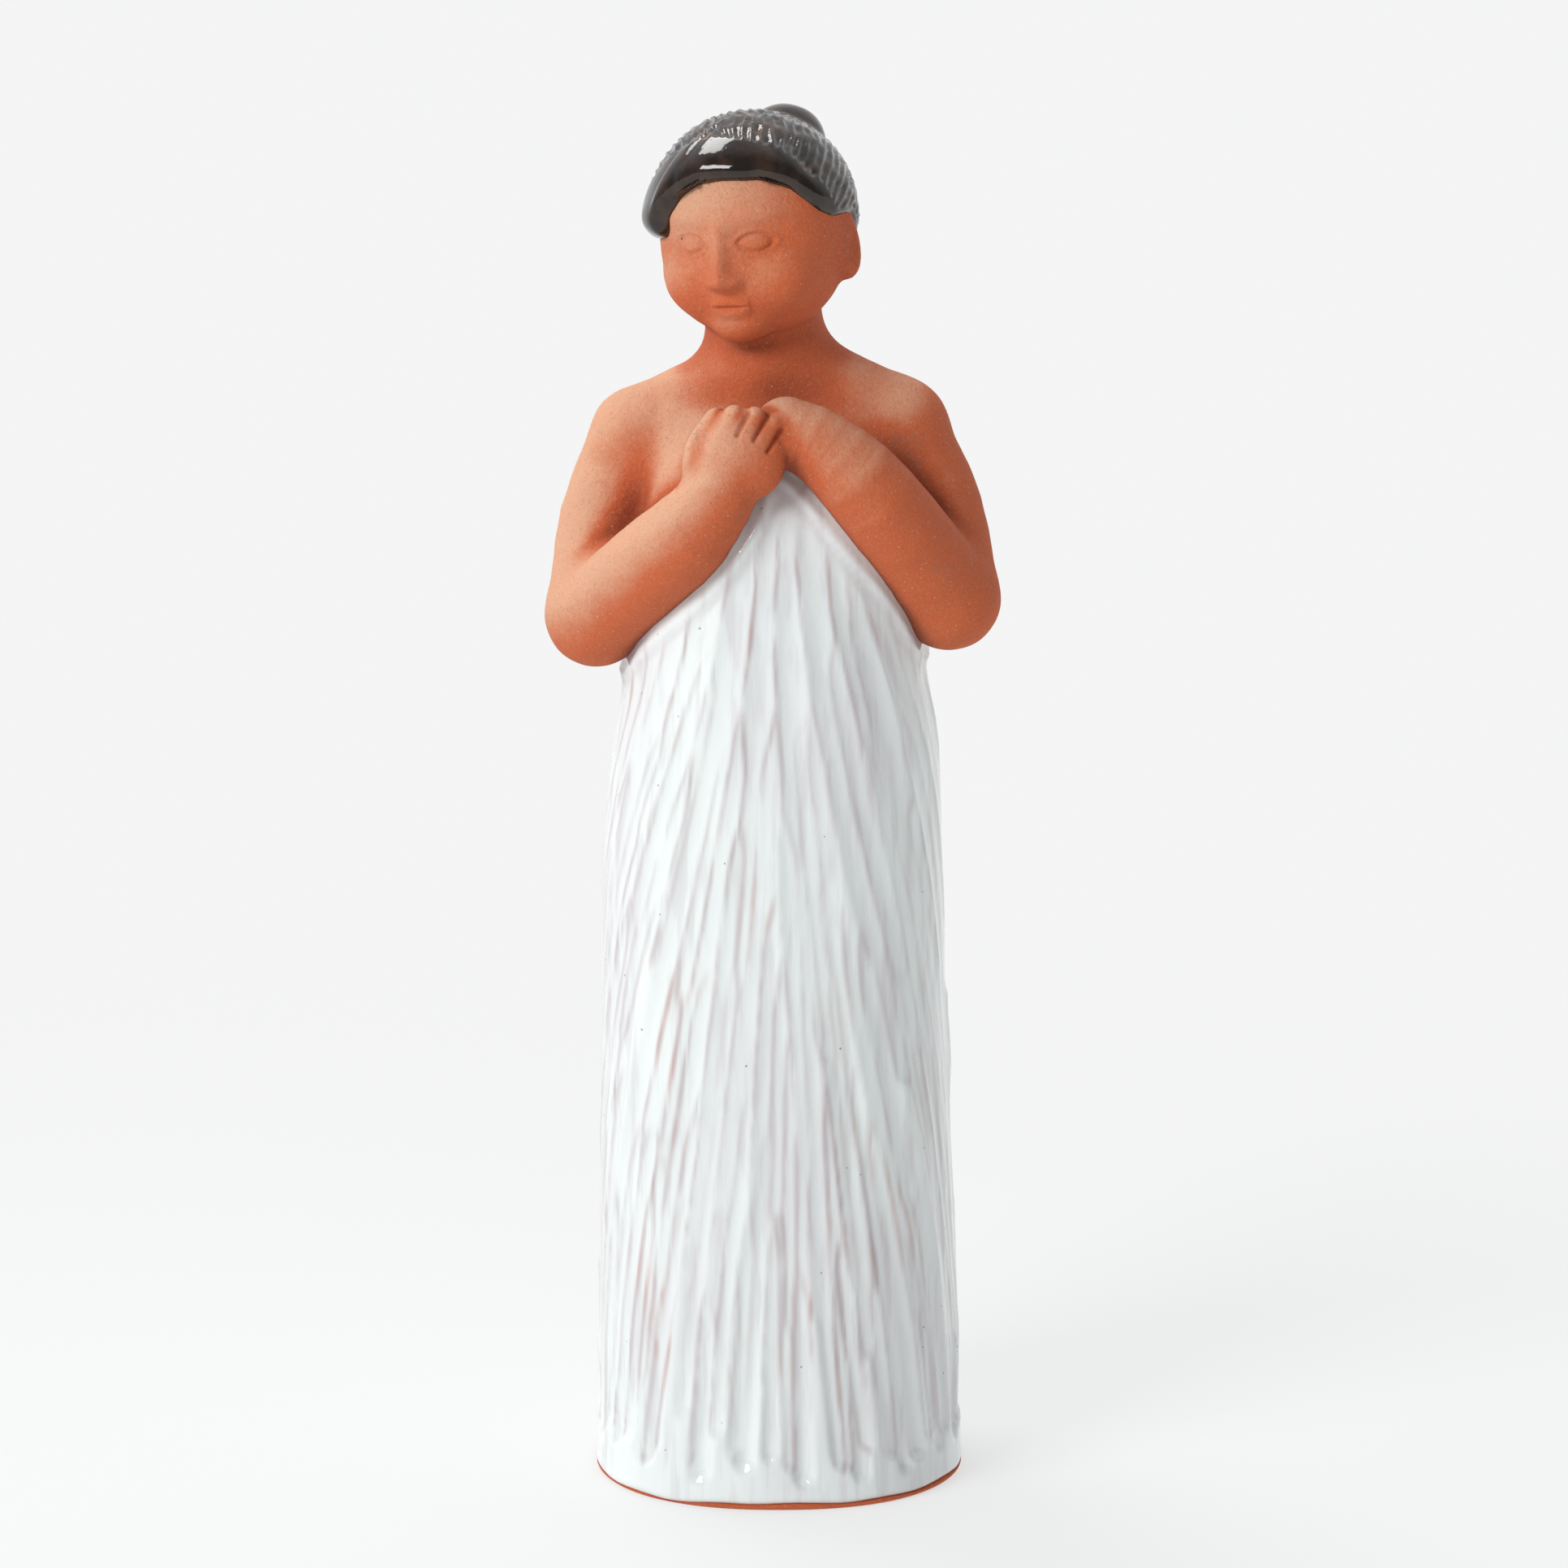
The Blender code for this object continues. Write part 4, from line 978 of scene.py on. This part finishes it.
def closed_sheet(name, outer, inner):
    """A closed sheet from a grid of points up its outer side and a grid down its inner one."""
    points = np.concatenate([outer, inner], axis=1)
    columns, rows = points.shape[:2]
    number = np.arange(columns * rows).reshape(columns, rows)
    beside = np.roll(number, -1, axis=0)
    above = np.roll(number, -1, axis=1)
    corner = np.roll(beside, -1, axis=1)
    faces = np.stack([number, beside, corner, above], axis=-1).reshape(-1, 4)
    return new_mesh(name, points.reshape(-1, 3), faces.tolist())


def make_wrap():
    """The wrap's white glaze: a gouged sheet round the trunk, rolled over at both edges."""
    angles = np.arange(WRAP_COLUMNS) * math.tau / WRAP_COLUMNS - math.pi
    low = rim_level(angles)
    high = wrap_edge(angles)
    levels = low[:, None] + edge_spaced(WRAP_ROWS, high - low)
    flat = around(angles[:, None], levels, 0.0).reshape(-1, 3)
    to_arms = np.minimum(arms(flat), hand(flat))
    from_top = (high[:, None] - levels).ravel()
    from_foot = (levels - low[:, None]).ravel()

    deepest, second, tint = gouge_depths(flat)
    fade = (held((from_top - SMOOTH_TOP[0]) / SMOOTH_TOP[1])
            * held((to_arms - SMOOTH_ARMS[0]) / SMOOTH_ARMS[1]))
    deepest, second, tint = (values.reshape(levels.shape)
                             for values in (deepest * fade, second * fade, tint))
    cut = smoothed(smoothed(deepest, 0), 0).ravel()
    out = glaze_height(flat, cut, from_top, from_foot, to_arms)
    outer = around(angles[:, None], levels, out.reshape(levels.shape))

    share = np.linspace(1 - INNER_INSET, INNER_INSET, INNER_ROWS)[None, :]
    inner_levels = (low + INNER_EDGE)[:, None] + share * (high - low - 2 * INNER_EDGE)[:, None]
    inner = around(angles[:, None], inner_levels, GLAZE_INNER)
    thing = closed_sheet("glaze_wrap", outer, inner)

    bead_line = mound(to_arms - GLAZE_BEAD_PLACE - BEAD_LINE_GAP, BEAD_LINE_WIDTH)
    untinted = np.zeros(inner.shape[:2])
    for name, values in (("ridge", ridge_tint(deepest, second, tint)),
                         ("rim", mound(from_foot, RIM_LINE_WIDTH)), ("bead", bead_line)):
        values = np.concatenate([values.reshape(levels.shape), untinted], axis=1)
        note(thing, name, values.ravel())
    return thing


def make_hair():
    """The hair's dark glaze: the cap and the bun, notched finely behind the smooth front."""
    bm = bmesh.new()
    cap = bmesh.ops.create_uvsphere(bm, u_segments=CAP_SIDES, v_segments=CAP_RINGS, radius=1)
    for vert in cap["verts"]:
        place = np.array(vert.co) * HAIR[1] + HAIR[0]
        flat = math.hypot(place[0], place[1] - HAIR[0][1])
        level = place[2] - hairline(place[None, :])[0]
        blend = min(1.0, flat / (HAIR[1][0] * HAIR_CORE_REACH))
        floor = level * blend + HAIR_CORE_LEVEL * (1 - blend)
        place[2] = max(place[2], floor)
        vert.co = place
    add_ball(bm, *BUN)
    thing = remeshed("glaze_hair", bm, HAIR_GRAIN)
    at = places_of(thing.data)
    shown = np.flatnonzero((ball(at, SKULL) > HAIR_SHOWN[0]) | (ball(at, BUN) < HAIR_SHOWN[1]))
    at[shown] = settle(at[shown], hair)
    slope = outward(hair, at[shown])
    wander = HAIR_WANDER * relief(at[shown], *HAIR_WANDER_WAVE)
    notch = hair_cut(at[shown] + wander[:, None] * HAIR_WANDER_AXES)
    notch *= np.clip(NOTCH_MIDDLE + NOTCH_SWING * relief(at[shown], *NOTCH_WAVE), NOTCH_LEAST, 1)
    uneven = HAIR_UNEVEN * relief(at[shown], *HAIR_WAVE)
    at[shown] += slope * (uneven - HAIR_SINK - notch)[:, None]
    cuts = np.zeros(len(at))
    cuts[shown] = notch
    edge = np.zeros(len(at))
    edge[shown] = mound(hairline(at[shown]), HAIR_LINE_WIDTH)
    thing.data.vertices.foreach_set("co", (from_head(at) * SHARE).ravel())
    note(thing, "notch", cuts / HAIR_NOTCH_DEPTH)
    note(thing, "edge", edge)
    thing.data.shade_smooth()
    return thing


class Nodes:
    """The nodes of a material or a world, with short ways to add to them. Places on an object
    are in millimetres."""

    def __init__(self, owner):
        self.owner = owner
        owner.use_nodes = True
        self.nodes = owner.node_tree.nodes
        self.links = owner.node_tree.links
        self.seen = self.nodes.new("ShaderNodeTexCoord").outputs
        self.place = self.add("ShaderNodeVectorMath", {0: self.seen["Object"], "Scale": 1000.0},
                              operation="SCALE").outputs[0]

    def feed(self, socket, value):
        """Give a socket its own value, or another node's output."""
        if isinstance(value, bpy.types.NodeSocket):
            self.links.new(value, socket)
        else:
            socket.default_value = value

    def add(self, kind, inputs, **settings):
        """A node with its settings, whose inputs are values or other nodes' outputs."""
        made = self.nodes.new(kind)
        for name, value in settings.items():
            setattr(made, name, value)
        for name, value in inputs.items():
            self.feed(made.inputs[name], value)
        return made

    def stretched(self, scale):
        """The places, scaled along each axis."""
        return self.add("ShaderNodeVectorMath", {0: self.place, 1: scale},
                        operation="MULTIPLY").outputs[0]

    def noise(self, wavelength, detail=2.0, rough=0.5, scale=(1, 1, 1)):
        """Smooth noise with a given wavelength in millimetres."""
        return self.add("ShaderNodeTexNoise",
                        {"Vector": self.stretched(scale), "Scale": 1 / wavelength,
                         "Detail": detail, "Roughness": rough}).outputs["Fac"]

    def times(self, one, other):
        """Two values, multiplied."""
        return self.math("MULTIPLY", one, other)

    def specks(self, spacing, radius, share):
        """Round specks of a radius, in a share of the cells of a given spacing."""
        cells = self.add("ShaderNodeTexVoronoi", {"Vector": self.place, "Scale": 1 / spacing})
        reach = radius / spacing
        near = self.between(cells.outputs["Distance"], reach, reach * SPECK_CORE)
        chance = self.add("ShaderNodeSeparateColor", {0: cells.outputs["Color"]}).outputs[0]
        return self.times(near, self.math("LESS_THAN", chance, share))

    def value(self, name):
        """A number stored for each vertex."""
        return self.add("ShaderNodeAttribute", {}, attribute_name=name).outputs["Fac"]

    def math(self, operation, one, other=0.0):
        """Arithmetic on two values."""
        return self.add("ShaderNodeMath", {0: one, 1: other}, operation=operation).outputs[0]

    def between(self, value, low, high):
        """A value from 0 at low to 1 at high, with soft ends."""
        ranged = self.add("ShaderNodeMapRange", {"Value": value, "From Min": low, "From Max": high},
                          interpolation_type="SMOOTHSTEP")
        return ranged.outputs[0]

    def mix(self, share, one, other):
        """Two colours, mixed by a share. The node's colour sockets go by their number."""
        one, other = (colour if isinstance(colour, bpy.types.NodeSocket) else (*colour, 1)
                      for colour in (one, other))
        return self.add("ShaderNodeMix", {"Factor": share, 6: one, 7: other},
                        data_type="RGBA").outputs[2]

    def layered(self, colour, *layers):
        """A colour with others laid over it in turn, each by a share of its strength."""
        for share, strength, over in layers:
            colour = self.mix(self.times(share, strength), colour, over)
        return colour

    def bump(self, height, distance, strength=1.0, before=None):
        """A bump of a height field, over another one if it is given."""
        inputs = {"Height": height, "Distance": distance, "Strength": strength}
        if before is not None:
            inputs["Normal"] = before
        return self.add("ShaderNodeBump", inputs).outputs["Normal"]

    def finish(self, **inputs):
        """Set the shader's own inputs, and give the material back."""
        shader = self.nodes["Principled BSDF"]
        for name, value in inputs.items():
            self.feed(shader.inputs[name.replace("_", " ")], value)
        return self.owner


def clay_material():
    """Fired red clay: orange, darker in its hollows as painted shade, buff where it was rubbed and,
    as painted light, where it faces the key lamp, with grog and pits.
    """
    clay = Nodes(bpy.data.materials.new("terracotta"))
    # Buff where the clay was rubbed, and painted light on the open side that faces the key lamp
    rubbed_and_lit = clay.times(clay.value("lit"), clay.math("POWER", clay.value("open"), 2.0))
    rubbed_and_lit = clay.math("ADD", rubbed_and_lit, clay.times(clay.noise(14, 3, 0.55), 0.34))
    rubbed_and_lit = clay.math("ADD", rubbed_and_lit, clay.times(clay.noise(1.1, 4, 0.65), 0.2))
    grain = clay.noise(0.5, 3, 0.75)
    height = clay.add("ShaderNodeSeparateXYZ", {0: clay.place}).outputs[2]
    smudged = clay.times(clay.between(clay.noise(12, 2), 0.61, 0.71),
                         clay.between(clay.noise(0.9, 3, 0.6), 0.5, 0.62))
    dark_grog = clay.specks(2.8, 0.18, 0.16)
    colour = clay.layered(
        clay.mix(clay.between(rubbed_and_lit, 0.79, 1.25), CLAY_ORANGE, CLAY_BUFF_AND_PAINTED_LIGHT),
        # Painted shade: darker where the clay is less open, in its hollows and creases
        (clay.between(clay.value("open"), 1.0, 0.42), 0.85, CLAY_PAINTED_SHADE),
        (clay.between(grain, 0.5, 0.75), 0.3, LIGHT_GRAIN),
        (clay.between(grain, 0.46, 0.3), 0.5, DARK_GRAIN),
        (clay.times(smudged, clay.between(height, *SMUDGE_LEVELS)), 0.45, SMUDGE),
        (clay.specks(1.5, 0.22, 0.4), 0.5, PALE_GROG),
        (dark_grog, 0.7, DARK_GROG))
    rough_skin = clay.bump(clay.noise(1.3, 5, 0.8), 0.0007, 1.0)
    pits = clay.bump(clay.math("SUBTRACT", 1.0, dark_grog), 0.0002, 0.8, rough_skin)
    return clay.finish(Base_Color=colour, Roughness=0.78, Normal=pits)


def white_glaze_material():
    """Opaque white glaze: thick and white in the gouges, thin and mauve over the ridges."""
    glaze = Nodes(bpy.data.materials.new("white_glaze"))
    clouds = glaze.between(glaze.noise(22, 2, 0.5, (1, 1, 0.45)), 0.35, 0.65)
    streaks = glaze.noise(2.6, 3, 0.55, (1, 1, 0.09))
    ridge = glaze.value("ridge")
    pink = glaze.between(glaze.noise(15, 2, 0.5, (1, 1, 0.5)), 0.58, 0.7)
    holes = glaze.specks(4.2, 0.25, 0.4)
    colour = glaze.layered(
        glaze.mix(clouds, WHITE_COOL, WHITE_GREY),
        (ridge, glaze.between(streaks, 0.28, 0.55), MAUVE),
        (glaze.times(ridge, pink), 0.65, PINK),
        (glaze.between(streaks, 0.47, 0.7), 0.4, VEIL),
        (glaze.value("bead"), 0.3, BEAD_MAUVE),
        (glaze.value("rim"), 0.8, RIM_PINK),
        (holes, 0.75, PINHOLE))
    ripple = glaze.bump(glaze.noise(3.2, 2, 0.5, (1, 1, 0.4)), 0.00025, 0.6)
    pitted = glaze.bump(glaze.math("SUBTRACT", 1.0, holes), 0.00015, 0.7, ripple)
    return glaze.finish(Base_Color=colour, Roughness=0.1, Normal=pitted, Coat_Weight=0.4,
                        Coat_Roughness=0.04)


def dark_glaze_material():
    """Dark brown glaze: near black where it is thick, and reddish where it breaks on edges."""
    glaze = Nodes(bpy.data.materials.new("dark_glaze"))
    thick = glaze.between(glaze.noise(5, 3, 0.55), 0.4, 0.7)
    notch = glaze.value("notch")
    ridge = glaze.times(glaze.between(notch, 0.35, 0.05), glaze.between(notch, 0.0, 0.03))
    broken = glaze.between(glaze.noise(7, 2), 0.5, 0.66)
    colour = glaze.layered(
        glaze.mix(thick, BROWN_BLACK, BROWN_DARK),
        (glaze.times(ridge, broken), 0.8, BROWN_BROKEN),
        (glaze.value("edge"), 0.35, BROWN_EDGE))
    ripple = glaze.bump(glaze.noise(2.6, 2), 0.0002, 0.5)
    return glaze.finish(Base_Color=colour, Roughness=0.08, Normal=ripple, IOR=1.5,
                        Coat_Weight=0.1, Coat_Roughness=0.03)


def make_floor():
    """The pale floor. It takes the shadow near the foot, and glows evenly farther away."""
    corners = [(x * FLOOR_HALF, y * FLOOR_HALF, 0) for x, y in ((-1, -1), (1, -1), (1, 1), (-1, 1))]
    mesh = bpy.data.meshes.new("floor")
    mesh.from_pydata(corners, [], [(0, 1, 2, 3)])
    paint = Nodes(bpy.data.materials.new("floor_paint"))
    reach = paint.add("ShaderNodeVectorMath", {0: paint.place}, operation="LENGTH").outputs[1]
    far = paint.between(reach, *FLOOR_FADE)
    colour = paint.mix(far, FLOOR_PAINT, BLACK)
    glow = paint.mix(far, FLOOR_GLOW_NEAR, FLOOR_GLOW_FAR)
    mesh.materials.append(paint.finish(Base_Color=colour, Roughness=1.0, Specular_IOR_Level=0.0,
                                       Emission_Color=glow, Emission_Strength=1.0))
    floor = placed("floor", mesh)


def softbox(name, direction, distance, size, power):
    """A soft rectangular lamp that looks at the figure's middle."""
    lamp = bpy.data.lights.new(name, "AREA")
    lamp.shape = "RECTANGLE"
    lamp.size, lamp.size_y = size
    lamp.energy = power
    thing = placed(name, lamp)
    middle = Vector((0, 0, FIGURE_HEIGHT * LAMP_AIM))
    thing.location = middle + Vector(direction).normalized() * distance
    thing.rotation_euler = (middle - thing.location).to_track_quat("-Z", "Y").to_euler()


def make_light():
    """Soft studio light: a room that is pale behind and dark in front, and two softboxes."""
    room = Nodes(bpy.data.worlds.new("room"))
    bpy.context.scene.world = room.owner
    depth = room.add("ShaderNodeSeparateXYZ", {0: room.seen["Generated"]}).outputs["Y"]
    shade = room.mix(room.between(depth, *ROOM_TURN), ROOM_FRONT, ROOM_BEHIND)
    room.feed(room.nodes["Background"].inputs["Color"], shade)
    softbox("key", *KEY_LAMP)
    softbox("top", *TOP_LAMP)


def make_camera():
    """The camera: in front, a little above, and looking down at the figure's middle."""
    lens = bpy.data.cameras.new("camera")
    lens.lens = LENS_LENGTH
    lens.sensor_width = SENSOR_WIDTH
    camera = placed("camera", lens)
    camera.location = CAMERA_PLACE
    camera.rotation_euler = (CAMERA_PITCH, 0, 0)
    bpy.context.scene.camera = camera


def main():
    """Build the three pieces and the studio."""
    scene = bpy.context.scene
    for maker, material, slot in ((make_clay, clay_material, "terracotta"),
                                  (make_wrap, white_glaze_material, "white_glaze"),
                                  (make_hair, dark_glaze_material, "dark_glaze")):
        thing = maker()
        thing.data.materials.clear()
        thing.data.materials.append(material())
        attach(thing, "root")
        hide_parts("figurine")
    make_floor()
    make_light()
    make_camera()
    scene.view_settings.view_transform = "Standard"


main()
